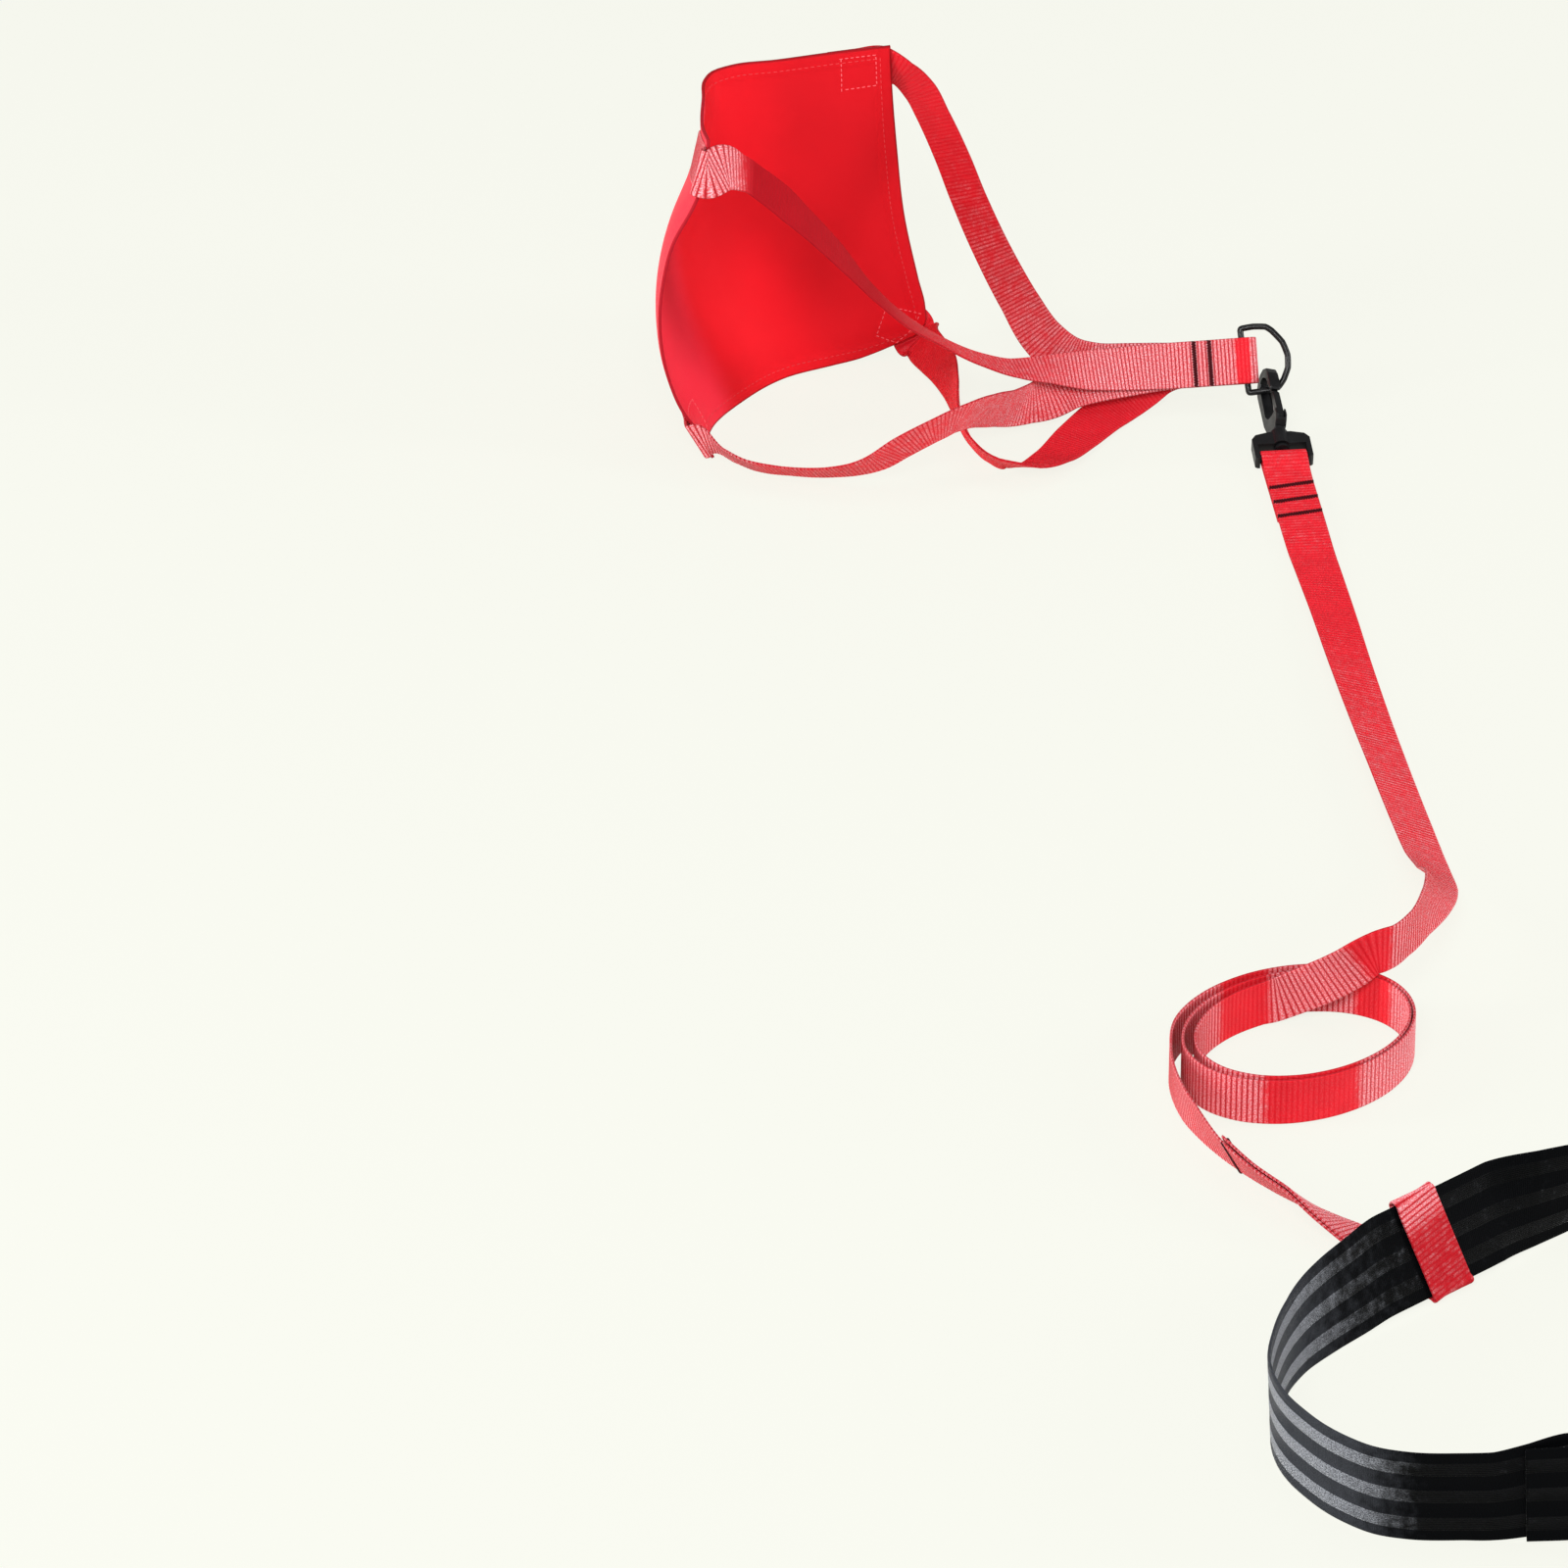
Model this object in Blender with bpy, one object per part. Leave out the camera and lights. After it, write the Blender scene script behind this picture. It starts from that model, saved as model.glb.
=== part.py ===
"""Swim resistance belt: a waist belt, a tether with a swivel snap hook, and a drag chute on a four-leg bridle.

The belt lies on a table as for use: the waist belt stands on its edge, the tether runs from a loop
round the belt through a coil to the snap hook, and the chute stands behind on its lower edge.
Lengths are in metres. The hand-laid routes are in millimetres, from a point on the table.
"""

import math

import bmesh
import bpy
from mathutils import Matrix, Vector
from mathutils.geometry import closest_point_on_tri

MM = 0.001
UP = Vector((0.0, 0.0, 1.0))

# Where the routes' own zero point lies from the part's origin, in millimetres
ROUTE_ZERO = (-278.8, 103.5, 0.0)

# Webbing
STRAP_WIDTH = 0.025
STRAP_THICK = 0.0015
BELT_WIDTH = 0.050
BELT_THICK = 0.0018
LAYER_GAP = 0.00035
FIT_GAP = 0.0003
STRAP_STEP = 0.012
BELT_STEP = 0.016
TURN_STEP = math.radians(24)

# Drag chute
CHUTE_CLOTH = 0.0009
CHUTE_HEM = 0.0022
HEM_WIDTH = 0.009
CHUTE_DEPTH = 0.010
CHUTE_CELLS = 20

# D-ring
RING_WIRE = 0.0030
RING_BAR = 0.0350
RING_DEPTH = 0.0235
RING_LEAN = 59.0
RING_TILT = 8.0
STACK_TILT = 4.0
RING_BAR_PLACE = (249.0, 400.0, 26.6)
RING_FOLD_SLACK = 0.0020

# Swivel snap hook, from the bar that holds the tether to the tip of the nose
SWIVEL_PLACE = (268.0, 334.0, 4.15)
SWIVEL_TURN = 6.0
SWIVEL_LEAN = 9.0
SWIVEL_BAR = 0.0040
SWIVEL_SLOT = 0.0262
SWIVEL_CHEEK = 0.0026
SWIVEL_HEIGHT = 0.0070
SWIVEL_SLOT_END = 0.0074
HOOK_ROLL = 75.0
HOOK_THICK = 0.0062
HOOK_SHANK = 0.0056
HOOK_FLANGE = 0.0084
HOOK_FLANGE_THICK = 0.0022
HOOK_FLANGE_PLAY = 0.0004
GATE_PIN = 0.0018
GATE_THICK = 0.0036
GATE_SPRING_WIDTH = 0.0030
GATE_SPRING_THICK = 0.0005

# Side-release buckle, which stands on the table and holds the belt's lower edge at its lift
BUCKLE_PLACE = (447.0, -671.0)
BUCKLE_BAR_PLACE = (523.0, -672.0)
BUCKLE_BAR = 0.0030
BUCKLE_BAR_SEAT = 0.0008
BUCKLE_LIFT = 0.0070
BUCKLE_STEP = 0.0010
BUCKLE_WALL = 0.0042
BUCKLE_SLOT_GAP = 0.0007


def metres(row):
    """A route row's place in metres, from the part's origin."""
    return Vector([(row[k] + ROUTE_ZERO[k]) * MM for k in range(3)])


def rolled(rows):
    """Rows of x, y, z in millimetres and roll in degrees, as places with the direction of the width."""
    places = [metres(row) for row in rows]
    knots = []
    for i, row in enumerate(rows):
        along = places[min(i + 1, len(rows) - 1)] - places[max(i - 1, 0)]
        side = along.cross(UP).normalized()
        rise = side.cross(along).normalized()
        roll = math.radians(row[3])
        knots.append((places[i], side * math.cos(roll) + rise * math.sin(roll)))
    return knots


def framed(frame, rows, across=(0.0, 1.0, 0.0)):
    """Places in a frame's own metres, with one direction of the width."""
    width = frame.to_3x3() @ Vector(across)
    return [(frame @ Vector(row), width) for row in rows]


def slopes(places):
    """The direction of a smooth curve at each of its places."""
    found = []
    for i, place in enumerate(places):
        if i == 0:
            found.append((places[1] - place).normalized())
        elif i == len(places) - 1:
            found.append((place - places[i - 1]).normalized())
        else:
            before, after = place - places[i - 1], places[i + 1] - place
            mixed = before / before.length_squared + after / after.length_squared
            found.append(mixed.normalized())
    return found


def eased(knots, step):
    """A smooth run of places and widths through the knots, with more of them where it bends or twists."""
    places = [place for place, _ in knots]
    heading = slopes(places)
    widths = [knots[0][1].normalized()]
    for _, width in knots[1:]:
        sign = -1.0 if width.dot(widths[-1]) < 0 else 1.0
        widths.append(width.normalized() * sign)
    run = []
    for i in range(len(knots) - 1):
        start, end = places[i], places[i + 1]
        reach = (end - start).length
        turn = heading[i].angle(heading[i + 1]) + widths[i].angle(widths[i + 1])
        pieces = max(1, math.ceil(reach / step), math.ceil(turn / TURN_STEP))
        for k in range(pieces):
            t = k / pieces
            place = (
                start * (1 - t) ** 2 * (1 + 2 * t)
                + end * t**2 * (3 - 2 * t)
                + heading[i] * reach * t * (1 - t) ** 2
                - heading[i + 1] * reach * t**2 * (1 - t)
            )
            run.append((place, widths[i].lerp(widths[i + 1], t).normalized()))
    run.append((places[-1], widths[-1]))
    return run


def sections(run, width, thick):
    """The four corners of the webbing at each place of a run."""
    heading = slopes([place for place, _ in run])
    found = []
    for (place, across), along in zip(run, heading):
        flat = (across - along * across.dot(along)).normalized() * width / 2
        out = along.cross(flat).normalized() * thick / 2
        found.append((place - flat - out, place + flat - out, place + flat + out, place - flat + out))
    return found


def new_object(name, mesh, material, frame=None):
    """Puts a mesh drawn in the part's frame on an object whose own zero is at frame."""
    frame = frame or Matrix.Identity(4)
    mesh.transform(frame.inverted())
    mesh.materials.append(material)
    made = bpy.data.objects.new(name, mesh)
    bpy.context.collection.objects.link(made)
    made.parent = origin
    made.matrix_local = frame
    return made


def finished(bm, name):
    bmesh.ops.recalc_face_normals(bm, faces=bm.faces)
    mesh = bpy.data.meshes.new(name)
    bm.to_mesh(mesh)
    bm.free()
    return mesh


def strap(name, knots, width, thick, step, material, frame=None):
    """A length of webbing as one closed solid."""
    bm = bmesh.new()
    rings = [[bm.verts.new(p) for p in ring] for ring in sections(eased(knots, step), width, thick)]
    for before, after in zip(rings, rings[1:]):
        for k in range(4):
            bm.faces.new((before[k], before[k - 1], after[k - 1], after[k]))
    bm.faces.new(rings[0])
    bm.faces.new(rings[-1][::-1])
    return new_object(name, finished(bm, name), material, frame)


def arc(radius, start, end, steps, centre=(0.0, 0.0)):
    """Points on a round stretch, from one angle in degrees to another."""
    found = []
    for k in range(steps + 1):
        angle = math.radians(start + (end - start) * k / steps)
        found.append((centre[0] + radius * math.cos(angle), centre[1] + radius * math.sin(angle)))
    return found


def plate(bm, outline, low, high):
    """Adds a closed prism of an x, y outline between two heights."""
    lower = [bm.verts.new((x, y, low)) for x, y in outline]
    upper = [bm.verts.new((x, y, high)) for x, y in outline]
    bm.faces.new(lower[::-1])
    bm.faces.new(upper)
    for k in range(len(outline)):
        bm.faces.new((lower[k - 1], lower[k], upper[k], upper[k - 1]))


def prism(name, outline, low, high, bevel=0.0):
    """A closed prism of an x, y outline between two heights, with its rim edges rounded."""
    bm = bmesh.new()
    plate(bm, outline, low, high)
    if bevel:
        rim = [edge for edge in bm.edges if edge.verts[0].co.z == edge.verts[1].co.z]
        bmesh.ops.bevel(bm, geom=rim, offset=bevel, segments=2, affect="EDGES", profile=0.6, clamp_overlap=True)
    return finished(bm, name)


def rounded_box(name, low, high, bevel=0.0, segments=2):
    """A block between two corners, with its long edges rounded."""
    bm = bmesh.new()
    bmesh.ops.create_cube(bm, size=1.0)
    for vert in bm.verts:
        for k in range(3):
            vert.co[k] = low[k] if vert.co[k] < 0 else high[k]
    if bevel:
        bmesh.ops.bevel(bm, geom=bm.edges[:], offset=bevel, segments=segments, affect="EDGES", profile=0.6)
    return finished(bm, name)


def rod(name, start, end, radius, sides=12):
    """A round bar between two points."""
    start, end = Vector(start), Vector(end)
    bm = bmesh.new()
    bmesh.ops.create_cone(
        bm, cap_ends=True, segments=sides, radius1=radius, radius2=radius, depth=(end - start).length
    )
    turn = (end - start).to_track_quat("Z", "Y").to_matrix().to_4x4()
    bmesh.ops.transform(bm, matrix=Matrix.Translation((start + end) / 2) @ turn, verts=bm.verts)
    return finished(bm, name)


def tube(name, places, radius, sides=8, closed=False):
    """A round wire through places, closed into a ring or capped."""
    count = len(places)
    bm = bmesh.new()
    rings = []
    out = None
    for i, place in enumerate(places):
        before = places[i - 1] if closed or i else place
        after = places[(i + 1) % count] if closed or i < count - 1 else place
        along = (after - before).normalized()
        seed = out if out is not None else (UP if abs(along.dot(UP)) < 0.9 else Vector((1, 0, 0)))
        out = (seed - along * seed.dot(along)).normalized()
        side = along.cross(out)
        ring = []
        for k in range(sides):
            angle = 2 * math.pi * k / sides
            ring.append(bm.verts.new(place + (out * math.cos(angle) + side * math.sin(angle)) * radius))
        rings.append(ring)
    pairs = list(zip(rings, rings[1:])) + ([(rings[-1], rings[0])] if closed else [])
    for before, after in pairs:
        for k in range(sides):
            bm.faces.new((before[k - 1], before[k], after[k], after[k - 1]))
    if not closed:
        bm.faces.new(rings[0][::-1])
        bm.faces.new(rings[-1])
    return finished(bm, name)


def combine(made, others, operation):
    """Unites other meshes with an object, or cuts them from it, in the object's own frame."""
    for i, mesh in enumerate(others):
        tool = bpy.data.objects.new(f"{made.name}_tool_{i}", mesh)
        bpy.context.collection.objects.link(tool)
        tool.parent = made
        tool.hide_render = True
        tool.display_type = "WIRE"
        change = made.modifiers.new(f"{operation.lower()}_{i}", "BOOLEAN")
        change.operation = operation
        change.solver = "EXACT"
        change.object = tool


def placed(mesh, frame):
    mesh.transform(frame)
    return mesh


def smooth_shaded(made, angle=40.0):
    made.data.shade_smooth()
    made.data.set_sharp_from_angle(angle=math.radians(angle))


def colour(name, red, green, blue, roughness, metallic=0.0):
    made = bpy.data.materials.new(name)
    made.use_nodes = True
    shader = made.node_tree.nodes["Principled BSDF"]
    shader.inputs["Base Color"].default_value = (red, green, blue, 1.0)
    shader.inputs["Roughness"].default_value = roughness
    shader.inputs["Metallic"].default_value = metallic
    made.diffuse_color = (red, green, blue, 1.0)
    return made


for old in list(bpy.data.objects):
    bpy.data.objects.remove(old, do_unlink=True)

origin = bpy.data.objects.new("part_origin", None)
bpy.context.collection.objects.link(origin)

red_webbing = colour("red_webbing", 0.72, 0.025, 0.04, 0.6)
red_cloth = colour("red_cloth", 0.75, 0.012, 0.02, 0.5)
black_webbing = colour("black_webbing", 0.012, 0.012, 0.014, 0.55)
black_plastic = colour("black_plastic", 0.01, 0.01, 0.011, 0.38)
black_wire = colour("black_wire", 0.008, 0.008, 0.009, 0.3, 1.0)
spring_steel = colour("spring_steel", 0.5, 0.5, 0.52, 0.3, 1.0)

# Chute: the cloth's four edges, which meet at its corners, in millimetres

LOWER_EDGE = [
    (-38, 339, 0.8), (-42, 352, 0.8), (-40, 369, 0.8), (-23, 401, 0.8), (1, 428, 0.8),
    (25, 441, 0.8), (43, 450, 1.2), (58, 456, 4.6), (71, 462, 8),
]
UPPER_EDGE = [
    (-40, 341, 192), (-43, 359, 190), (-43, 395, 189), (-42, 417, 189), (-38, 426, 189),
    (-28, 431, 190), (-4, 437, 190), (26, 442, 192), (57, 446, 194),
]
NEAR_EDGE = [
    (-38, 339, 0.8), (-46, 336, 18), (-54, 333, 32), (-61, 330, 52), (-66, 326, 92), (-64, 325, 115),
    (-59, 325, 137), (-47, 329, 160), (-40, 336, 178), (-40, 341, 192),
]
FAR_EDGE = [
    (71, 462, 8), (77, 466.5, 13.5), (77, 466, 24), (73, 463, 44), (65, 456, 88), (61, 450, 130), (58, 447, 171), (57, 446, 194),
]


def edge_curve(rows):
    """A function from 0 to 1 that runs at even speed along a smooth edge."""
    run = [place for place, _ in eased([(metres(row), UP) for row in rows], 0.004)]
    reach = [0.0]
    for before, after in zip(run, run[1:]):
        reach.append(reach[-1] + (after - before).length)

    def at(share):
        want = share * reach[-1]
        for k in range(1, len(run)):
            if reach[k] >= want or k == len(run) - 1:
                t = (want - reach[k - 1]) / (reach[k] - reach[k - 1])
                return run[k - 1].lerp(run[k], t)

    return at


lower_edge, upper_edge = edge_curve(LOWER_EDGE), edge_curve(UPPER_EDGE)
near_edge, far_edge = edge_curve(NEAR_EDGE), edge_curve(FAR_EDGE)
BULGE_WAY = Vector((-0.3, 0.95, 0.0))


def cloth_place(u, v):
    """The middle of the cloth, u from the near edge to the far one and v from the table up."""
    ruled = near_edge(v).lerp(far_edge(v), u) + lower_edge(u).lerp(upper_edge(u), v)
    corners = lower_edge(0).lerp(lower_edge(1), u).lerp(upper_edge(0).lerp(upper_edge(1), u), v)
    swell = math.sin(math.pi * u) * math.sin(math.pi * v)
    return ruled - corners + BULGE_WAY * CHUTE_DEPTH * swell


def cloth_out(u, v):
    """The direction out of the cloth's rounded back, away from the bridle."""
    near = 0.004
    along = cloth_place(min(u + near, 1), v) - cloth_place(max(u - near, 0), v)
    rise = cloth_place(u, min(v + near, 1)) - cloth_place(u, max(v - near, 0))
    return rise.cross(along).normalized()


def chute_panel():
    """The square of cloth, thicker along its turned hems."""
    span = (near_edge(0) - near_edge(1)).length
    hem = HEM_WIDTH / span
    stops = [0.0, hem]
    inner = CHUTE_CELLS - 2
    stops += [hem + (1 - 2 * hem) * k / inner for k in range(1, inner)]
    stops += [1 - hem, 1.0]
    bm = bmesh.new()
    front, back = {}, {}
    for i, u in enumerate(stops):
        for j, v in enumerate(stops):
            on_hem = min(i, j, len(stops) - 1 - i, len(stops) - 1 - j) <= 1
            half = (CHUTE_HEM if on_hem else CHUTE_CLOTH) / 2
            place, out = cloth_place(u, v), cloth_out(u, v)
            front[i, j] = bm.verts.new(place - out * half)
            back[i, j] = bm.verts.new(place + out * half)
    last = len(stops) - 1
    for i in range(last):
        for j in range(last):
            bm.faces.new([front[k] for k in ((i, j), (i + 1, j), (i + 1, j + 1), (i, j + 1))])
            bm.faces.new([back[k] for k in ((i, j), (i, j + 1), (i + 1, j + 1), (i + 1, j))])
    rim = [(k, 0) for k in range(last)] + [(last, k) for k in range(last)]
    rim += [(last - k, last) for k in range(last)] + [(0, last - k) for k in range(last)]
    for before, after in zip(rim, rim[1:] + rim[:1]):
        bm.faces.new((front[after], front[before], back[before], back[after]))
    return new_object("chute_panel", finished(bm, "chute_panel"), red_cloth)


chute_panel()

# D-ring and the fold of the bridle round its bar

ring_place = metres(RING_BAR_PLACE)
lean = Matrix.Rotation(math.radians(RING_LEAN), 4, "X")
ring_frame = Matrix.Translation(ring_place) @ lean @ Matrix.Rotation(math.radians(RING_TILT), 4, "Z")
stack_frame = Matrix.Translation(ring_place) @ lean @ Matrix.Rotation(math.radians(STACK_TILT), 4, "Z")


def d_ring():
    """A bent wire ring: a straight bar, and a bow with the flats that bending leaves."""
    half = RING_BAR / 2
    bow = [
        (0.0, -half + 0.001), (0.0, -half / 3), (0.0, half / 3), (0.0, half - 0.001),
        (0.0012, half), (0.30 * RING_DEPTH, half + 0.0002), (0.58 * RING_DEPTH, half - 0.0008),
        (0.72 * RING_DEPTH, half - 0.0035), (0.92 * RING_DEPTH, half * 0.42), (RING_DEPTH, 0.0),
        (0.97 * RING_DEPTH, -half * 0.38), (0.84 * RING_DEPTH, -half * 0.72),
        (0.70 * RING_DEPTH, -half * 0.93), (0.55 * RING_DEPTH, -half), (0.0012, -half),
    ]
    places = [ring_frame @ Vector((x, y, 0.0)) for x, y in bow]
    made = new_object("d_ring", tube("d_ring", places, RING_WIRE / 2, 8, True), black_wire, ring_frame)
    smooth_shaded(made)


d_ring()

FOLD_INNER = RING_WIRE / 2 + FIT_GAP + STRAP_THICK / 2 + 0.0001
LAYER_STEP = STRAP_THICK + LAYER_GAP
STITCHED_FROM = 0.014
STITCHED_TO = 0.036


def ring_fold(layer):
    """The webbing round the ring's bar, from the front of the stack to its back; layer 0 is the inner strap."""
    radius = FOLD_INNER + layer * LAYER_STEP
    flat = (0.5 + layer) * LAYER_STEP
    side = [(-STITCHED_TO, flat), (-0.030, flat), (-STITCHED_FROM, flat), (-0.004, radius * 0.97)]
    bend = arc(radius, 90, -90, 6, (RING_FOLD_SLACK, 0.0))
    back = [(x, -z) for x, z in side[::-1]]
    return framed(stack_frame, [(x, 0.0, z) for x, z in side + bend + back])


# Bridle legs from the chute's corners to the stack: x, y, z in millimetres and roll in degrees

UPPER_FAR_LEG = [
    (64, 448, 176, 66), (73, 446, 167, 72), (80, 443, 154, 76), (91, 438, 130, 82),
    (99, 433, 110, 88), (113, 424, 80, 94), (127, 414, 56, 100), (140, 405, 38, 108), (153, 400.5, 28, 116),
    (168, 400.4, 23.4, 120), (186, 400.6, 23, 121), (200, 400.6, 23.2, 121),
]
UPPER_NEAR_LEG = [
    (-31, 336.5, 178, 128), (-21, 342, 171.5, 148), (-12, 345, 163, 154), (1, 348, 150, 153),
    (13, 351, 136, 160), (30, 355, 115, 165), (49, 360, 89, 177), (64, 364, 72, 181),
    (78, 368, 60, 188), (105, 374, 42, 188), (124, 378, 34, 184), (142, 382, 31, 172), (163, 386, 28.5, 150),
    (200, 394.35, 26.0, 129),
]
LOWER_NEAR_LEG = [
    (-29, 323, 11, 46), (-17, 314, 10, 41), (1, 308, 10, 38), (25, 303, 12, 39), (38, 301, 15, 43),
    (50, 301, 19.5, 49), (63, 300, 29, 56), (81, 303, 38, 62), (94, 311, 40.5, 64), (106, 328, 35.5, 62),
    (118, 350, 25, 68), (134, 371.5, 16.8, 90), (143, 376.5, 17.6, 114), (153, 381.5, 20.2, 137),
    (162, 384.3, 21.6, 139), (172, 387.4, 22.2, 141), (181, 390.4, 22.4, 141), (190, 393.6, 22.9, 135),
    (200, 396.8, 23.3, 128),
]
LOWER_FAR_LEG = [
    (75.5, 457, 8.8, 138), (76.5, 449, 10.6, 128), (79, 438, 12.4, 116), (84, 425, 13, 110), (89, 410, 13, 107),
    (93, 384, 12.8, 94), (97, 352, 12.5, 74), (105, 329, 11.2, 56), (117, 315, 11, 39), (131, 317, 8, 22),
    (145, 333, 5, 8), (158, 355, 4.6, -6), (171, 376, 4.9, -13), (182, 389.8, 6.4, -24), (194, 398.4, 12.3, -45),
    (203, 402.4, 18.1, -55),
]


# Where the last strap turns round the blunt lower far corner
CORNER_PLACE = (71.9, 463.0, 5.4)
CORNER_WIDTH = (0.63, 0.68, 0.38)


def lap(path, lift):
    """Webbing sewn flat on the chute's back, through u, v places."""
    places = [cloth_place(u, v) + cloth_out(u, v) * lift for u, v in path]
    knots = []
    for i, (u, v) in enumerate(path):
        along = places[min(i + 1, len(path) - 1)] - places[max(i - 1, 0)]
        knots.append((places[i], cloth_out(u, v).cross(along).normalized()))
    return knots


def wrapped(v):
    """Webbing that turns round the near edge from the chute's back."""
    share = STRAP_WIDTH / 2 / (near_edge(1) - near_edge(0)).length
    low, high = near_edge(v - share), near_edge(v + share)
    middle, across = (low + high) / 2, (high - low).normalized()
    lift = LAP_LIFT + (near_edge(v) - middle).length
    inward, out = (cloth_place(0.03, v) - near_edge(v)).normalized(), cloth_out(0.02, v)
    return [(middle - inward * lift * 0.75 + out * lift * 0.75, across), (middle - inward * lift * 1.1, across)]


LAP_LIFT = CHUTE_HEM / 2 + FIT_GAP + STRAP_THICK / 2 + 0.0002


def bridle_strap(name, layer, front_lap, front_leg, back_leg, back_lap):
    knots = front_lap + rolled(front_leg) + ring_fold(layer) + rolled(back_leg)[::-1] + back_lap[::-1]
    strap(name, knots, STRAP_WIDTH, STRAP_THICK, STRAP_STEP, red_webbing)


bridle_strap(
    "bridle_strap_outer", 1,
    lap([(0.14, 0.915), (0.08, 0.915), (0.03, 0.915)], LAP_LIFT + 0.0035) + wrapped(0.915), UPPER_NEAR_LEG,
    LOWER_FAR_LEG,
    lap([(0.84, 0.13), (0.91, 0.082), (0.97, 0.041)], LAP_LIFT + 0.0010) + [(metres(CORNER_PLACE), Vector(CORNER_WIDTH))],
)
bridle_strap(
    "bridle_strap_inner", 0,
    lap([(0.16, 0.075), (0.09, 0.075), (0.03, 0.075)], LAP_LIFT + 0.0015) + wrapped(0.075), LOWER_NEAR_LEG,
    UPPER_FAR_LEG, lap([(0.82, 0.93), (0.90, 0.93), (0.97, 0.93)], LAP_LIFT + 0.0031),
)

# Tether: from its sewn end at the swivel, along the table, through the coil, and round the waist belt

swivel_place = metres(SWIVEL_PLACE)
flat_swivel = Matrix.Translation(swivel_place) @ Matrix.Rotation(math.radians(SWIVEL_TURN), 4, "Z")
swivel_frame = flat_swivel @ Matrix.Rotation(math.radians(SWIVEL_LEAN), 4, "X")

TETHER_FLAT = [
    (275, 254, 2.8, 0), (276, 236, 1.6, 2), (279, 214, 2.2, 5), (285, 172, 3.2, 10), (293, 115, 4.4, 15),
    (301, 60, 5.4, 19), (309, 5, 6.2, 22), (317, -48, 7.0, 25), (323, -88, 9, 29), (326.5, -118, 16, 42),
    (325, -148, 27, 66), (317.5, -180, 35, 84), (308, -206, 38.2, 90), (298, -221, 39.2, 90),
    (289, -226.4, 38.9, 90), (276, -228, 30.5, 90), (264, -227.2, 23, 90), (252, -226, 16.6, 90),
    (244, -226.6, 13.4, 90),
]
COIL_CENTRE = (253.0, -268.0)
COIL_SIZE = (55.5, 41.5)
COIL_GROWTH = 4.2
COIL_DRIFT = 2.0
COIL_TURN = 34.0
COIL_FROM = 83.0
COIL_TO = 878.0
COIL_STEPS = 36

# Lower edge places on the table, with the lean from upright toward the right of the way along
TETHER_EXIT = [
    (194, -318, 0.1, 6), (204, -339, 0.1, 14), (218, -360, 0.1, 24), (234, -379, 0.1, 34),
    (250, -395, 0.1, 48), (267, -408, 0.3, 62), (282, -418, 0.45, 78),
]
LOOP_PLACE = (315.5, -467.0, 0.0)
LOOP_ALONG = (0.76, 0.65)
LOOP_LEAN = 20.0
LOOP_LIFT = 2.6
LOOP_SLANT = 0.011
PAIR_STEP = STRAP_THICK + 0.0013
BELT_STEP_OUT = BELT_THICK + 0.0005


def upright(rows, width, thick):
    """Webbing on its edge: lower edge places in millimetres and the lean, as places and width directions."""
    places = [metres(row) for row in rows]
    knots = []
    for i, row in enumerate(rows):
        along = places[min(i + 1, len(rows) - 1)] - places[max(i - 1, 0)]
        side = Vector((along.y, -along.x, 0.0)).normalized()
        lean = math.radians(row[3])
        across = side * math.sin(lean) + UP * math.cos(lean)
        rise = UP * (thick / 2 * abs(math.sin(lean)))
        knots.append((places[i] + across * (width / 2) + rise, across))
    return knots


def beside(knots, step):
    """A second layer on the side of the webbing that its width and its way along turn toward."""
    heading = slopes([place for place, _ in knots])
    return [(place + across.cross(along).normalized() * step, across) for (place, across), along in zip(knots, heading)]


def coil():
    """The wound part, as lower edge rows on the table."""
    rows = []
    turn = math.radians(COIL_TURN)
    for k in range(COIL_STEPS + 1):
        degrees = COIL_FROM + (COIL_TO - COIL_FROM) * k / COIL_STEPS
        turns = (degrees - COIL_FROM) / 360
        x = (COIL_SIZE[0] + COIL_GROWTH * turns) * math.cos(math.radians(degrees))
        y = (COIL_SIZE[1] + COIL_GROWTH * turns) * math.sin(math.radians(degrees))
        rows.append((
            COIL_CENTRE[0] - COIL_DRIFT * turns + x * math.cos(turn) - y * math.sin(turn),
            COIL_CENTRE[1] + x * math.sin(turn) + y * math.cos(turn), 0.2, 0.0,
        ))
    return rows


loop_along = Vector((*LOOP_ALONG, 0.0)).normalized()
loop_out = UP.cross(loop_along)
loop_place = metres(LOOP_PLACE)
loop_lean = math.radians(LOOP_LEAN)
belt_rise = UP * math.cos(loop_lean) + loop_out * math.sin(loop_lean)
belt_face = loop_out * math.cos(loop_lean) - UP * math.sin(loop_lean)
belt_foot = loop_place + UP * (LOOP_LIFT * MM + BELT_THICK / 2 * math.sin(loop_lean))


def belt_loop():
    """The tether's loop round the leaning belt: in under it, up its inner face, over and down outside."""
    inner = BELT_THICK / 2 + 0.00045 + STRAP_THICK / 2
    top = BELT_WIDTH - 0.0002
    spots = [loop_place + loop_out * n * MM + UP * z * MM for n, z in ((30, 0.86), (14, 0.86), (2.4, 0.88))]
    spots += [loop_place + loop_out * n * MM + UP * z * MM for n, z in ((-0.9, 1.5), (-2.1, 2.9))]
    spots += [belt_foot - belt_face * inner + belt_rise * s * MM for s in (1.6, 4, 14, 26, 37, 46)]
    for x, y in arc(inner, 180, 0, 6):
        spots.append(belt_foot + belt_face * x + belt_rise * (top + y))
    spots += [loop_place + loop_out * n * MM + UP * z * MM for n, z in (
        (18.9, 43), (18.6, 34), (18.8, 24), (19.8, 13), (21.8, 7.2), (25, 4.6),
    )]
    return [(spot - loop_along * LOOP_SLANT * (spot.z - spots[0].z) / BELT_WIDTH, -loop_along) for spot in spots]


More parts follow.
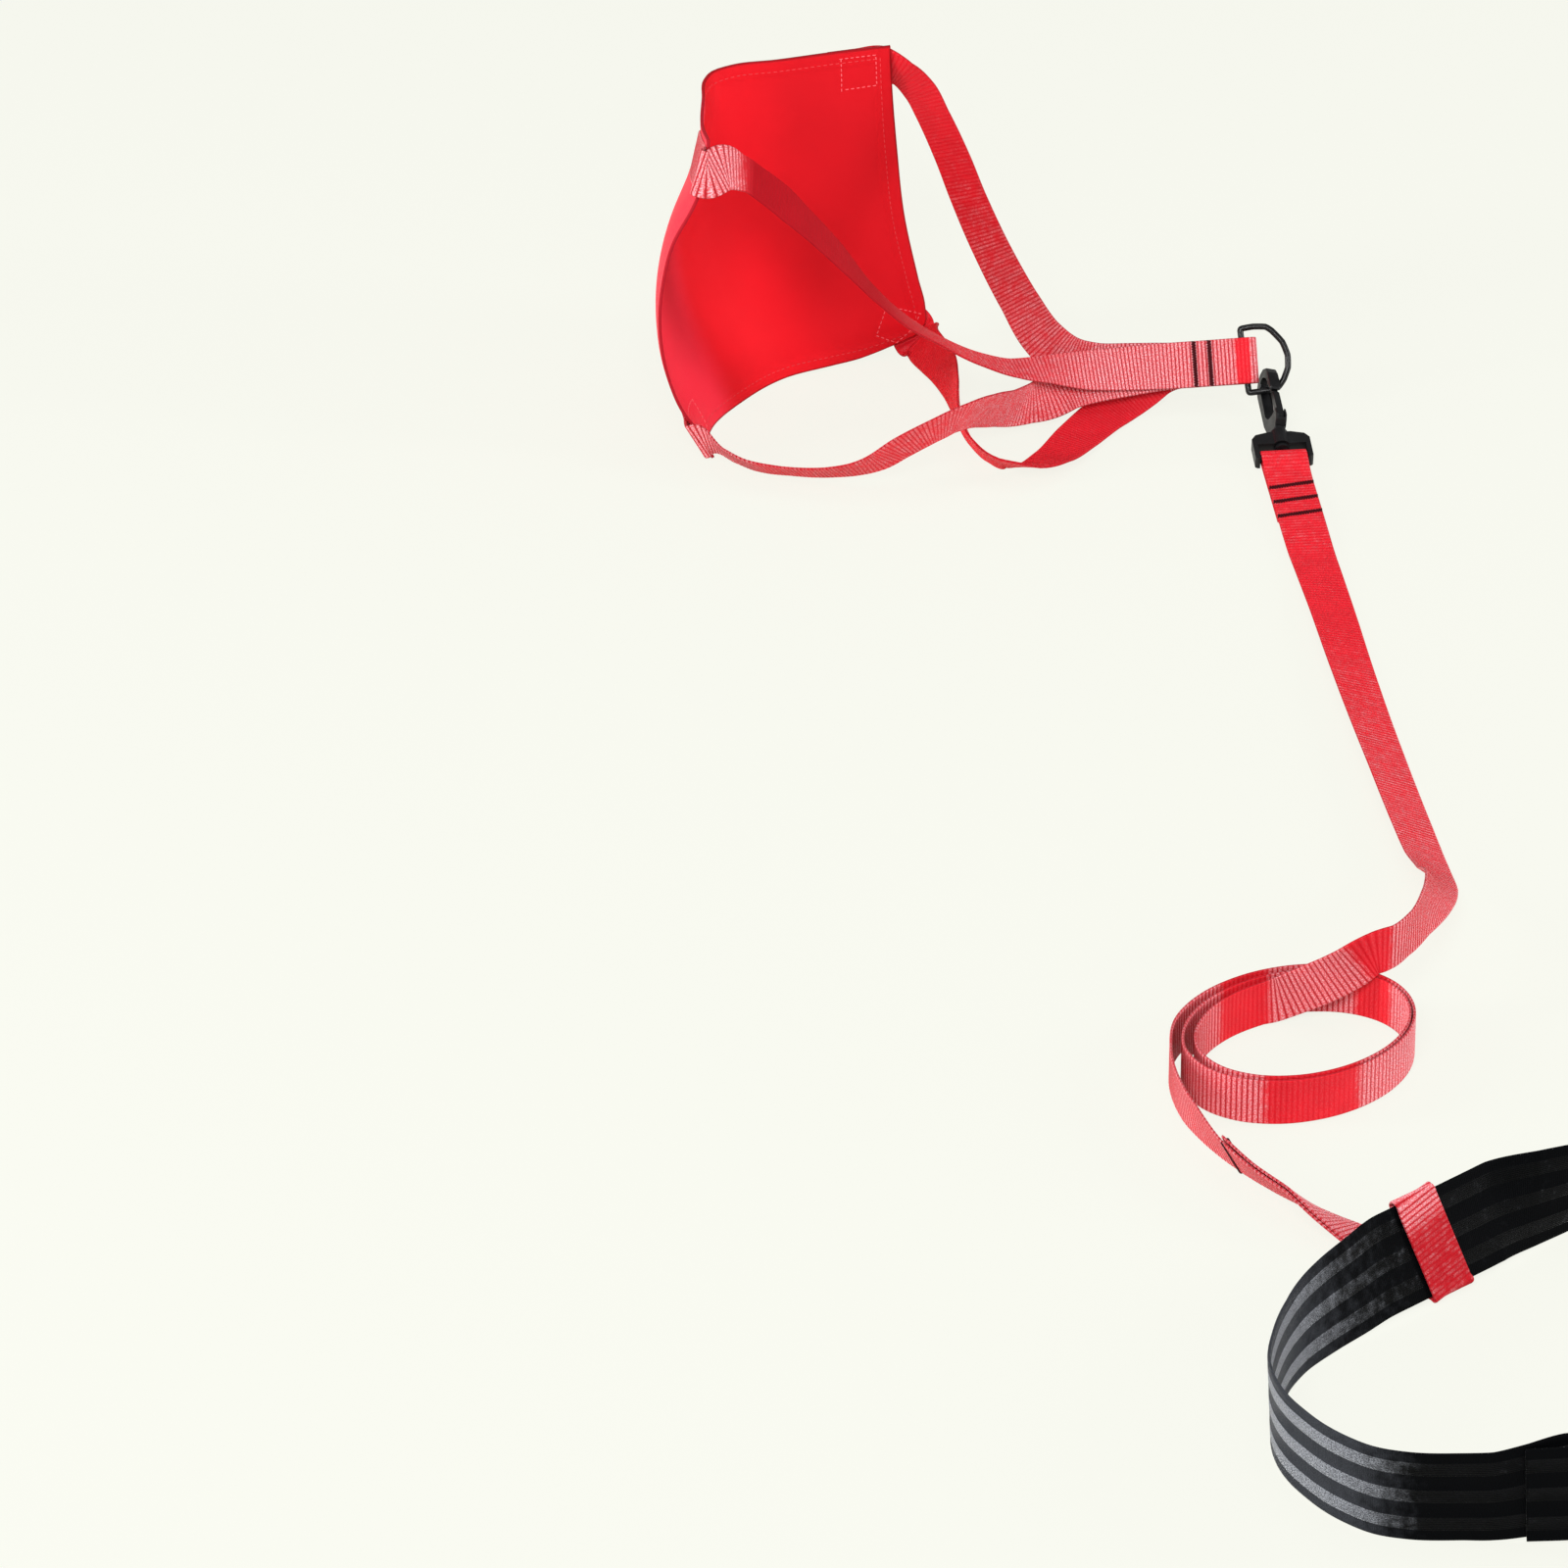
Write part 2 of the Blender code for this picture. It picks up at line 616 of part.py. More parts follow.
def self_gap(run, thick, width):
    """The least gap between layers of one strap that lie more than a little apart along it."""
    reach = [0.0]
    for (before, _), (after, _) in zip(run, run[1:]):
        reach.append(reach[-1] + (after - before).length)
    faces = [(a - wa * width / 2, a + wa * width / 2, b - wb * width / 2, b + wb * width / 2)
             for (a, wa), (b, wb) in zip(run, run[1:])]
    least = 1.0
    for i, (place, across) in enumerate(run):
        for j, (p, q, r, s) in enumerate(faces):
            if min(abs(reach[i] - reach[j]), abs(reach[i] - reach[j + 1])) < 0.030:
                continue
            if (place - p).length > 0.060:
                continue
            for share in (-0.5, -0.25, 0.0, 0.25, 0.5):
                spot = place + across * width * share
                for corners in ((p, q, s), (p, s, r)):
                    least = min(least, (spot - closest_point_on_tri(spot, *corners)).length - thick)
    return least, reach[-1]


swivel_bend = SWIVEL_BAR / 2 + FIT_GAP + STRAP_THICK / 2
fold_rows = [(0.0, -0.064, -0.00330), (0.0, -0.030, -0.00330), (0.0, -0.012, -0.00325), (0.0, -0.003, -0.00310)]
fold_rows += [(0.0, y, z) for y, z in arc(swivel_bend, -90, 90, 6)]
fold_rows += [(0.0, -0.006, 0.0022), (0.0, -0.013, 0.0001), (0.0, -0.021, -0.0009), (0.0, -0.028, -0.00115)]
fold_rows += [(0.0, -0.036, -0.00115), (0.0, -0.050, -0.0011), (0.0, -0.060, -0.0010)]
exit_knots = upright(coil() + TETHER_EXIT, STRAP_WIDTH, STRAP_THICK)
loop_knots = belt_loop()
tail_knots = beside(exit_knots + loop_knots[:2], PAIR_STEP)[-7:-1][::-1]
tether_knots = framed(flat_swivel, fold_rows, (1.0, 0.0, 0.0)) + rolled(TETHER_FLAT)
tether_knots += exit_knots + loop_knots + tail_knots
strap("tether_webbing", tether_knots, STRAP_WIDTH, STRAP_THICK, STRAP_STEP, red_webbing)
tether_gap, tether_length = self_gap(eased(tether_knots, STRAP_STEP), STRAP_THICK, STRAP_WIDTH)
print("tether: least gap to itself", round(tether_gap / MM, 2), "mm, length", round(tether_length, 3), "m")

# Waist belt on its edge, from the female buckle half round to the male half

BELT_RIGHT = [
    (556, -664, 7, 0), (580, -650, 6.5, 0), (603, -620, 4.5, 0), (617, -580, 1.5, 0), (624, -535, 0.1, 0),
    (624, -490, 0.1, 0), (613, -448, 0.1, 0), (590, -412, 0.1, 0), (556, -386, 0.1, 0), (518, -375, 0.1, 0),
    (478, -373, 0.1, 0), (440, -380, 0.1, 0), (405, -396, 0.1, -2), (376, -413, 0.1, -2), (361, -426, 0.8, 6),
]
BELT_LEFT = [
    (274, -503, 1.0, 16), (258, -518, 0.1, 11), (245, -533, 0.1, 6), (236, -549, 0.1, 3),
    (229, -573, 0.1, 3), (226, -597, 0.1, 3), (228, -611, 0.1, 3), (233, -625, 0.1, 3), (240, -637, 0.1, 3),
    (248, -648, 0.1, 3), (257, -657, 0.1, 3), (270, -666, 0.1, 3), (284, -670, 0.1, 3), (311, -671, 0.1, 3),
]
BELT_NEAR = [
    (324, -671, 0.1, 2), (340, -671, 2.2, -2), (358, -671, 5.6, -7), (376, -671, 6.9, -5), (396, -671, 7, -1),
    (406, -671, 7, 0), (415, -671, 7, 0),
]
ADJUST_TAIL = [
    (415, -673.3, 7, 0), (405, -673.3, 6.8, 0), (394, -673.4, 5.6, 1), (376, -673.5, 3.8, 3), (358, -673.5, 1.9, 3),
    (338, -673.4, 1.0, 2),
]
LOOP_STRAIGHT = 26.0

belt_loop_rows = [
    (LOOP_PLACE[0] + loop_along.x * s, LOOP_PLACE[1] + loop_along.y * s, LOOP_LIFT, LOOP_LEAN)
    for s in (LOOP_STRAIGHT + 10, LOOP_STRAIGHT, 0.0, -LOOP_STRAIGHT, -LOOP_STRAIGHT - 10)
]
belt_rows = BELT_RIGHT + belt_loop_rows + BELT_LEFT + BELT_NEAR
belt_knots = upright(belt_rows, BELT_WIDTH, BELT_THICK)
buckle_half = BUCKLE_LIFT + BELT_WIDTH / 2
bar_frame = Matrix.Translation(metres((*BUCKLE_BAR_PLACE, buckle_half / MM)))
belt_bend = BUCKLE_BAR / 2 + FIT_GAP + BELT_THICK / 2
female_bend = [(x, y, 0.0) for x, y in arc(belt_bend, 90, 270, 8)]
female_out = [(0.008, -0.0020, 0.0), (0.018, 0.0010, 0.0)]
sewn = beside(framed(bar_frame, female_out, (0.0, 0.0, 1.0)) + belt_knots[:2], -BELT_STEP_OUT)[::-1]
female_knots = sewn[:3] + framed(bar_frame, female_bend + female_out, (0.0, 0.0, 1.0))
strap("belt_webbing", female_knots + belt_knots, BELT_WIDTH, BELT_THICK, BELT_STEP, black_webbing)

# Adjusting end: on through the male half's two bars and back along the belt's outer face

male_frame = Matrix.Translation(metres((*BUCKLE_PLACE, buckle_half / MM)))
adjust_rows = [(-0.0317, 0.0, 0.0), (-0.012, 0.0, 0.0)]
adjust_rows += [(x, y, 0.0) for x, y in arc(belt_bend, 90, -90, 8, (0.0, -belt_bend))]
adjust_rows += [(-0.004, -0.0050, 0.0), (-0.008, -0.0031, 0.0), (-0.011, -0.0023, 0.0), (-0.018, -0.0023, 0.0)]
adjust_knots = framed(male_frame, adjust_rows, (0.0, 0.0, 1.0))
adjust_knots += upright(ADJUST_TAIL, BELT_WIDTH, BELT_THICK)
strap("belt_adjust_end", adjust_knots, BELT_WIDTH, BELT_THICK, BELT_STEP, black_webbing)

# Swivel base: a fork with the tether's bar, and a collar that the hook's shank turns in. Millimetres


def scaled(rows):
    return [tuple(value * MM for value in row) for row in rows]


def swivel_base():
    half = SWIVEL_SLOT / 2 + SWIVEL_CHEEK
    outline = [
        (-half, -0.0035), (-half, 0.0120), (-half + 0.0025, 0.0155), (-0.0060, 0.0175), (0.0060, 0.0175),
        (half - 0.0025, 0.0155), (half, 0.0120), (half, -0.0035), (half - 0.0012, -0.0045),
        (half - SWIVEL_CHEEK, -0.0045), (half - SWIVEL_CHEEK, SWIVEL_SLOT_END),
        (-half + SWIVEL_CHEEK, SWIVEL_SLOT_END), (-half + SWIVEL_CHEEK, -0.0045), (-half + 0.0012, -0.0045),
    ]
    mesh = prism("swivel_base", outline, -SWIVEL_HEIGHT / 2, SWIVEL_HEIGHT / 2)
    made = new_object("swivel_base", placed(mesh, swivel_frame), black_plastic, swivel_frame)
    collar = rod("collar", (0, SWIVEL_SLOT_END + 0.0002, 0), (0, 0.0190, 0), 0.0052, 20)
    bar = rod("bar", (-half + 0.0010, 0, 0), (half - 0.0010, 0, 0), SWIVEL_BAR / 2, 16)
    combine(made, [collar, bar], "UNION")
    combine(made, [rod("bore", (0, 0.0040, 0), (0, 0.0230, 0), HOOK_SHANK / 2 + FIT_GAP, 20)], "DIFFERENCE")
    smooth_shaded(made)


swivel_base()

# Hook: drawn with its nose toward +x, the way along it +y and its thickness along z

hook_frame = swivel_frame @ Matrix.Rotation(math.radians(-HOOK_ROLL), 4, "Y")
HOOK_OUTLINE = [
    (-2.8, 20.0), (2.8, 20.0), (4.0, 22.0), (7.6, 23.4), (9.3, 26.0), (9.3, 31.0), (3.4, 31.2), (0.2, 31.8),
    (-2.4, 33.4), (-4.3, 36.4), (-4.85, 40.0), (-4.85, 62.0), (-4.2, 64.7), (-2.4, 66.5), (0.0, 67.2),
    (2.4, 66.5), (4.3, 64.7), (5.2, 61.5), (5.9, 58.0), (6.9, 55.6), (6.9, 50.0), (8.0, 49.3), (9.0, 50.2),
    (9.3, 52.0), (9.3, 62.3), (8.05, 67.0), (4.65, 70.4), (0.0, 71.6), (-4.65, 70.4), (-8.05, 67.0),
    (-9.3, 62.3), (-9.3, 36.5), (-8.0, 30.5), (-5.4, 25.4),
]
GATE_PLACE = (6.6, 27.8)
GATE_OUTLINE = [
    (4.9, 29.5), (4.9, 51.0), (5.2, 52.4), (5.9, 52.8), (6.5, 52.2), (6.5, 48.6), (8.3, 46.6), (8.6, 29.5),
]


def hook_body():
    outline = scaled(HOOK_OUTLINE)
    mesh = prism("hook_body", outline, -HOOK_THICK / 2, HOOK_THICK / 2, 0.0008)
    made = new_object("hook_body", placed(mesh, hook_frame), black_plastic, hook_frame)
    shank = rod("shank", (0, 0.0062, 0), (0, 0.0240, 0), HOOK_SHANK / 2, 20)
    top = SWIVEL_SLOT_END - HOOK_FLANGE_PLAY
    flange = rod("flange", (0, top - HOOK_FLANGE_THICK, 0), (0, top, 0), HOOK_FLANGE / 2, 20)
    combine(made, [shank, flange], "UNION")
    half = GATE_THICK / 2 + FIT_GAP
    slot = rounded_box("slot", (0.0030, 0.0246, -half), (0.0110, 0.0330, half))
    x, y = GATE_PLACE
    bore = rod("bore", (x * MM, y * MM, -0.0050), (x * MM, y * MM, 0.0050), GATE_PIN / 2 + 0.00015, 14)
    combine(made, [slot, bore], "DIFFERENCE")
    smooth_shaded(made)


def hook_gate():
    x, y = GATE_PLACE
    foot = arc(2.2, 145, 395, 10, (x, y))
    outline = scaled([p for p in foot if p[1] < 29.3] + GATE_OUTLINE[::-1])
    frame = hook_frame @ Matrix.Translation((x * MM, y * MM, 0))
    mesh = prism("hook_gate", outline, -GATE_THICK / 2, GATE_THICK / 2, 0.0003)
    made = new_object("hook_gate", placed(mesh, hook_frame), black_plastic, frame)
    bore = rod("bore", (0, 0, -0.0040), (0, 0, 0.0040), GATE_PIN / 2 + 0.00015, 14)
    combine(made, [bore], "DIFFERENCE")
    smooth_shaded(made)
    pin = rod("gate_pin", (x * MM, y * MM, -0.0031), (x * MM, y * MM, 0.0031), GATE_PIN / 2, 14)
    smooth_shaded(new_object("gate_pin", placed(pin, hook_frame), black_wire, frame))


def gate_spring():
    """A leaf of spring steel between the gate and the hook's shoulder."""
    rows = [(3.5, 25.4), (3.4, 28.0), (3.3, 31.5), (3.5, 35.0), (4.0, 38.0), (4.4, 40.0)]
    knots = framed(hook_frame, [(x * MM, y * MM, 0.0) for x, y in rows], (0.0, 0.0, 1.0))
    strap("gate_spring", knots, GATE_SPRING_WIDTH, GATE_SPRING_THICK, 0.004, spring_steel)


hook_body()
hook_gate()
gate_spring()

# Buckle: drawn with the way along the belt +x, its outer face toward -y and its height along z

slot_half = BELT_WIDTH / 2 + BUCKLE_SLOT_GAP
male_half = buckle_half - BUCKLE_STEP


def block(name, low, high, half, bevel=0.0):
    """A box given by its low and high x and y in millimetres, and its half height."""
    return rounded_box(name, (low[0] * MM, low[1] * MM, -half), (high[0] * MM, high[1] * MM, half), bevel)


def slot_bar(x, y):
    """A bar across the belt's slot, seated in both of its ends."""
    half = slot_half + BUCKLE_BAR_SEAT
    return rod("bar", (x, y, -half), (x, y, half), BUCKLE_BAR / 2, 14)


def buckle_male():
    mesh = block("buckle_male", (-15.0, -7.2), (21.0, 1.8), male_half, 0.0014)
    made = new_object("buckle_male", placed(mesh, male_frame), black_plastic, male_frame)
    combine(made, [block("window", (-17.0, -9.0), (6.2, 4.0), slot_half)], "DIFFERENCE")
    guide = block("guide", (19.0, -4.7), (49.0, -0.7), 0.0070, 0.0008)
    combine(made, [slot_bar(0.0, -0.0027), slot_bar(-0.0110, -0.0049), guide], "UNION")
    smooth_shaded(made)


def buckle_prong(name, side):
    """A springing arm with a barb that shows in the female half's side window, drawn in from its outer side."""
    rows = [
        (21.4, 16.5), (39.0, 11.0), (47.0, 11.5), (53.0, 14.0), (54.0, 11.5), (50.0, 5.5), (42.5, 0.0),
        (39.0, 0.0), (39.0, 5.8), (35.0, 6.0), (21.4, 9.5),
    ]
    bm = bmesh.new()
    faces = [
        [bm.verts.new((x * MM, y * MM, (male_half - inset * MM) * side)) for x, inset in rows]
        for y in (-4.9, -0.5)
    ]
    bm.faces.new(faces[0])
    bm.faces.new(faces[1][::-1])
    for k in range(len(rows)):
        bm.faces.new((faces[0][k - 1], faces[1][k - 1], faces[1][k], faces[0][k]))
    frame = male_frame @ Matrix.Translation((0.0214, -0.0027, (male_half - 0.0130) * side))
    new_object(name, placed(finished(bm, name), male_frame), black_plastic, frame)


def buckle_female():
    mesh = block("buckle_female", (27.0, -8.8), (78.5, 3.4), buckle_half, 0.0020)
    made = new_object("buckle_female", placed(mesh, male_frame), black_plastic, male_frame)
    cuts = [
        block("cavity", (25.0, -5.9), (63.5, 0.5), buckle_half - BUCKLE_WALL),
        block("windows", (36.0, -5.9), (55.0, 0.5), buckle_half + 0.0020),
        block("slot", (67.5, -11.0), (82.0, 6.0), slot_half),
    ]
    combine(made, cuts, "DIFFERENCE")
    combine(made, [slot_bar(0.0760, -0.0010)], "UNION")
    smooth_shaded(made)


buckle_male()
buckle_prong("buckle_prong_upper", 1)
buckle_prong("buckle_prong_lower", -1)
buckle_female()
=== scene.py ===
"""Swim resistance belt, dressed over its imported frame.

Woven webbing, cloth, sewn threads and moulded plastic take the places of the plain solids.
Lengths are in metres, apart from the routes, which are in millimetres from a point on the table.
"""

from math import ceil, cos, exp, pi, radians, sin, sqrt

import bpy
import numpy as np
from mathutils import Matrix, Vector, noise


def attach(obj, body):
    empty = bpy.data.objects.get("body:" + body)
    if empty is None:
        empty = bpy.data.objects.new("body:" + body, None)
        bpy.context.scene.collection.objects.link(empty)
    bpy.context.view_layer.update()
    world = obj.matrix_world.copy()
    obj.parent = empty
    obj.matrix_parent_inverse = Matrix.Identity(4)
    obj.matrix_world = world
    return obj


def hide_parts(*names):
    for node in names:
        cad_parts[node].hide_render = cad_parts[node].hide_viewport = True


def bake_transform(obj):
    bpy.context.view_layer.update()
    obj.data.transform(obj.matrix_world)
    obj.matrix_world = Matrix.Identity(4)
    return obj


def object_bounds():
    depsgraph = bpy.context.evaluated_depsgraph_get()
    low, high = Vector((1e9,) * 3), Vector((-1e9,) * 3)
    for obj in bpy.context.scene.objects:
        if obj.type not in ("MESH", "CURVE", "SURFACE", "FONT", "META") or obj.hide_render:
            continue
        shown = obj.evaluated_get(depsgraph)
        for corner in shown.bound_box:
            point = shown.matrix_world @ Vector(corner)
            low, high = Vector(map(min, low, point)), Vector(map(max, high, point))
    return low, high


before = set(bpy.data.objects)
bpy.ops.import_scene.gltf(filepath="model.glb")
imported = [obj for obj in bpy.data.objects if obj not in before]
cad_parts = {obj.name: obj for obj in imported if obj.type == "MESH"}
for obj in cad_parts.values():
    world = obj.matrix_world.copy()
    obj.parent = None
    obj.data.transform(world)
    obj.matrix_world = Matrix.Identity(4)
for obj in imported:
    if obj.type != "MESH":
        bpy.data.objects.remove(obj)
cad_low, cad_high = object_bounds()

MM = 0.001
UP = Vector((0.0, 0.0, 1.0))

# Where the routes' own zero point lies from the part's origin, in millimetres
ROUTE_ZERO = (-278.8, 103.5, 0.0)

STRAP_WIDTH = 0.025
STRAP_THICK = 0.0015
BELT_WIDTH = 0.050
BELT_THICK = 0.0018
LAYER_GAP = 0.00035
FIT_GAP = 0.0003
TURN_STEP = radians(24)

CHUTE_HEM = 0.0022
HEM_WIDTH = 0.009
CHUTE_DEPTH = 0.010

RING_WIRE = 0.0030
RING_BAR = 0.0350
RING_DEPTH = 0.0235
RING_DRAWN = 0.0034
RING_LEAN = 59.0
RING_TILT = 8.0
STACK_TILT = 4.0
RING_BAR_PLACE = (249.0, 400.0, 26.6)
RING_FOLD_SLACK = 0.0020

SWIVEL_PLACE = (268.0, 334.0, 4.15)
SWIVEL_TURN = 6.0
SWIVEL_LEAN = 9.0
SWIVEL_BAR = 0.0040
HOOK_ROLL = 75.0

BUCKLE_PLACE = (447.0, -671.0, 32.0)
BUCKLE_BAR = 0.0030

# The camera looks at the routes' zero point from the photograph's height
CAMERA_RISE = 31.0
CAMERA_AWAY = 5.5
CAMERA_LENS = 247.5


def placed(name, data):
    """A new object in the scene."""
    made = bpy.data.objects.new(name, data)
    bpy.context.scene.collection.objects.link(made)
    return made


eye = bpy.data.cameras.new("camera")
eye.lens = CAMERA_LENS
eye.sensor_width = 36.0
eye.clip_end = 100.0
camera = placed("camera", eye)
rise = radians(CAMERA_RISE)
toward = Vector((0.0, cos(rise), -sin(rise)))
camera.location = Vector(ROUTE_ZERO) * MM - toward * CAMERA_AWAY
camera.rotation_euler = (pi / 2 - rise, 0.0, 0.0)
bpy.context.scene.camera = camera


def metres(row):
    """A route row's place in metres, from the part's origin."""
    return Vector([(row[k] + ROUTE_ZERO[k]) * MM for k in range(3)])


def ways(places):
    """The way along at each place, from the one before it to the one after it."""
    last = len(places) - 1
    return [places[min(i + 1, last)] - places[max(i - 1, 0)] for i in range(last + 1)]


def rolled(rows):
    """Rows of x, y, z in millimetres and roll in degrees, as places with the direction of the width."""
    places = [metres(row) for row in rows]
    knots = []
    for place, along, row in zip(places, ways(places), rows):
        side = along.cross(UP).normalized()
        rise = side.cross(along).normalized()
        roll = radians(row[3])
        knots.append((place, side * cos(roll) + rise * sin(roll)))
    return knots


def framed(matrix, rows, across=(0.0, 1.0, 0.0)):
    """Places in a frame's own metres, with one direction of the width."""
    width = matrix.to_3x3() @ Vector(across)
    return [(matrix @ Vector(row), width) for row in rows]


def slopes(places):
    """The direction of a smooth curve at each of its places."""
    legs = [after - before for before, after in zip(places, places[1:])]
    found = [legs[0]]
    for before, after in zip(legs, legs[1:]):
        found.append(before / before.length_squared + after / after.length_squared)
    return [way.normalized() for way in found + [legs[-1]]]


def eased(knots, step):
    """A smooth run of places and widths through the knots, with more of them where it bends or twists."""
    places = [place for place, _ in knots]
    heading = slopes(places)
    widths = [knots[0][1].normalized()]
    for _, width in knots[1:]:
        sign = -1.0 if width.dot(widths[-1]) < 0 else 1.0
        widths.append(width.normalized() * sign)
    run = []
    for i in range(len(knots) - 1):
        start, end = places[i], places[i + 1]
        reach = (end - start).length
        turn = heading[i].angle(heading[i + 1]) + widths[i].angle(widths[i + 1])
        pieces = max(1, ceil(reach / step), ceil(turn / TURN_STEP))
        for k in range(pieces):
            t = k / pieces
            place = (
                start * (1 - t) ** 2 * (1 + 2 * t)
                + end * t**2 * (3 - 2 * t)
                + heading[i] * reach * t * (1 - t) ** 2
                - heading[i + 1] * reach * t**2 * (1 - t)
            )
            run.append((place, widths[i].lerp(widths[i + 1], t).normalized()))
    run.append((places[-1], widths[-1]))
    return run


def arc(radius, start, end, steps, centre=(0.0, 0.0)):
    """Points on a round stretch, from one angle in degrees to another."""
    found = []
    for k in range(steps + 1):
        angle = radians(start + (end - start) * k / steps)
        found.append((centre[0] + radius * cos(angle), centre[1] + radius * sin(angle)))
    return found


# Chute: the cloth's four edges, which meet at its corners, in millimetres

LOWER_EDGE = [
    (-38, 339, 0.8), (-42, 352, 0.8), (-40, 369, 0.8), (-23, 401, 0.8), (1, 428, 0.8), (25, 441, 0.8),
    (43, 450, 1.2), (58, 456, 4.6), (71, 462, 8),
]
UPPER_EDGE = [
    (-40, 341, 192), (-43, 359, 190), (-43, 395, 189), (-42, 417, 189), (-38, 426, 189), (-28, 431, 190),
    (-4, 437, 190), (26, 442, 192), (57, 446, 194),
]
NEAR_EDGE = [
    (-38, 339, 0.8), (-46, 336, 18), (-54, 333, 32), (-61, 330, 52), (-66, 326, 92), (-64, 325, 115),
    (-59, 325, 137), (-47, 329, 160), (-40, 336, 178), (-40, 341, 192),
]
FAR_EDGE = [
    (71, 462, 8), (77, 466.5, 13.5), (77, 466, 24), (73, 463, 44), (65, 456, 88), (61, 450, 130),
    (58, 447, 171), (57, 446, 194),
]


def edge_curve(rows):
    """A function from 0 to 1 that runs at even speed along a smooth edge."""
    run = [place for place, _ in eased([(metres(row), UP) for row in rows], 0.004)]
    reach = [0.0]
    for before, after in zip(run, run[1:]):
        reach.append(reach[-1] + (after - before).length)

    def at(share):
        want = share * reach[-1]
        k = next((k for k in range(1, len(run) - 1) if reach[k] >= want), len(run) - 1)
        return run[k - 1].lerp(run[k], (want - reach[k - 1]) / (reach[k] - reach[k - 1]))

    return at


lower_edge, upper_edge = edge_curve(LOWER_EDGE), edge_curve(UPPER_EDGE)
near_edge, far_edge = edge_curve(NEAR_EDGE), edge_curve(FAR_EDGE)
BULGE_WAY = Vector((-0.3, 0.95, 0.0))


def cloth_place(u, v):
    """The middle of the cloth, u from the near edge to the far one and v from the table up."""
    ruled = near_edge(v).lerp(far_edge(v), u) + lower_edge(u).lerp(upper_edge(u), v)
    corners = lower_edge(0).lerp(lower_edge(1), u).lerp(upper_edge(0).lerp(upper_edge(1), u), v)
    swell = sin(pi * u) * sin(pi * v)
    return ruled - corners + BULGE_WAY * CHUTE_DEPTH * swell


def cloth_out(u, v):
    """The direction out of the cloth's rounded back, away from the bridle."""
    near = 0.004
    along = cloth_place(min(u + near, 1), v) - cloth_place(max(u - near, 0), v)
    rise = cloth_place(u, min(v + near, 1)) - cloth_place(u, max(v - near, 0))
    return rise.cross(along).normalized()


# D-ring and the fold of the bridle round its bar

ring_place = metres(RING_BAR_PLACE)
lean = Matrix.Rotation(radians(RING_LEAN), 4, "X")
ring_frame = Matrix.Translation(ring_place) @ lean @ Matrix.Rotation(radians(RING_TILT), 4, "Z")
stack_frame = Matrix.Translation(ring_place) @ lean @ Matrix.Rotation(radians(STACK_TILT), 4, "Z")

FOLD_INNER = RING_WIRE / 2 + FIT_GAP + STRAP_THICK / 2 + 0.0001
LAYER_STEP = STRAP_THICK + LAYER_GAP
STITCHED_FROM = 0.014
STITCHED_TO = 0.036


def ring_fold(layer):
    """Webbing round the ring's bar, from the stack's front to its back; layer 0 is the inner strap."""
    radius = FOLD_INNER + layer * LAYER_STEP
    flat = (0.5 + layer) * LAYER_STEP
    side = [(-STITCHED_TO, flat), (-0.030, flat), (-STITCHED_FROM, flat), (-0.004, radius * 0.97)]
    bend = arc(radius, 90, -90, 6, (RING_FOLD_SLACK, 0.0))
    back = [(x, -z) for x, z in side[::-1]]
    return framed(stack_frame, [(x, 0.0, z) for x, z in side + bend + back])


# Bridle legs from the chute's corners to the stack: x, y, z in millimetres and roll in degrees

UPPER_FAR_LEG = [
    (64, 448, 176, 66), (73, 446, 167, 72), (80, 443, 154, 76), (91, 438, 130, 82), (99, 433, 110, 88),
    (113, 424, 80, 94), (127, 414, 56, 100), (140, 405, 38, 108), (153, 400.5, 28, 116),
    (168, 400.4, 23.4, 120), (186, 400.6, 23, 121), (200, 400.6, 23.2, 121),
]
UPPER_NEAR_LEG = [
    (-31, 336.5, 178, 128), (-21, 342, 171.5, 148), (-12, 345, 163, 154), (1, 348, 150, 153),
    (13, 351, 136, 160), (30, 355, 115, 165), (49, 360, 89, 177), (64, 364, 72, 181), (78, 368, 60, 188),
    (105, 374, 42, 188), (124, 378, 34, 184), (142, 382, 31, 172), (163, 386, 28.5, 150),
    (200, 394.35, 26.0, 129),
]
LOWER_NEAR_LEG = [
    (-29, 323, 11, 46), (-17, 314, 10, 41), (1, 308, 10, 38), (25, 303, 12, 39), (38, 301, 15, 43),
    (50, 301, 19.5, 49), (63, 300, 29, 56), (81, 303, 38, 62), (94, 311, 40.5, 64), (106, 328, 35.5, 62),
    (118, 350, 25, 68), (134, 371.5, 16.8, 90), (143, 376.5, 17.6, 114), (153, 381.5, 20.2, 137),
    (162, 384.3, 21.6, 139), (172, 387.4, 22.2, 141), (181, 390.4, 22.4, 141), (190, 393.6, 22.9, 135),
    (200, 396.8, 23.3, 128),
]
LOWER_FAR_LEG = [
    (75.5, 457, 8.8, 138), (76.5, 449, 10.6, 128), (79, 438, 12.4, 116), (84, 425, 13, 110),
    (89, 410, 13, 107), (93, 384, 12.8, 94), (97, 352, 12.5, 74), (105, 329, 11.2, 56),
    (117, 315, 11, 39), (131, 317, 8, 22), (145, 333, 5, 8), (158, 355, 4.6, -6), (171, 376, 4.9, -13),
    (182, 389.8, 6.4, -24), (194, 398.4, 12.3, -45), (203, 402.4, 18.1, -55),
]


# Where the outer strap turns round the blunt lower far corner
CORNER_PLACE = (71.9, 463.0, 5.4)
CORNER_WIDTH = (0.63, 0.68, 0.38)

LAP_LIFT = CHUTE_HEM / 2 + FIT_GAP + STRAP_THICK / 2 + 0.0002


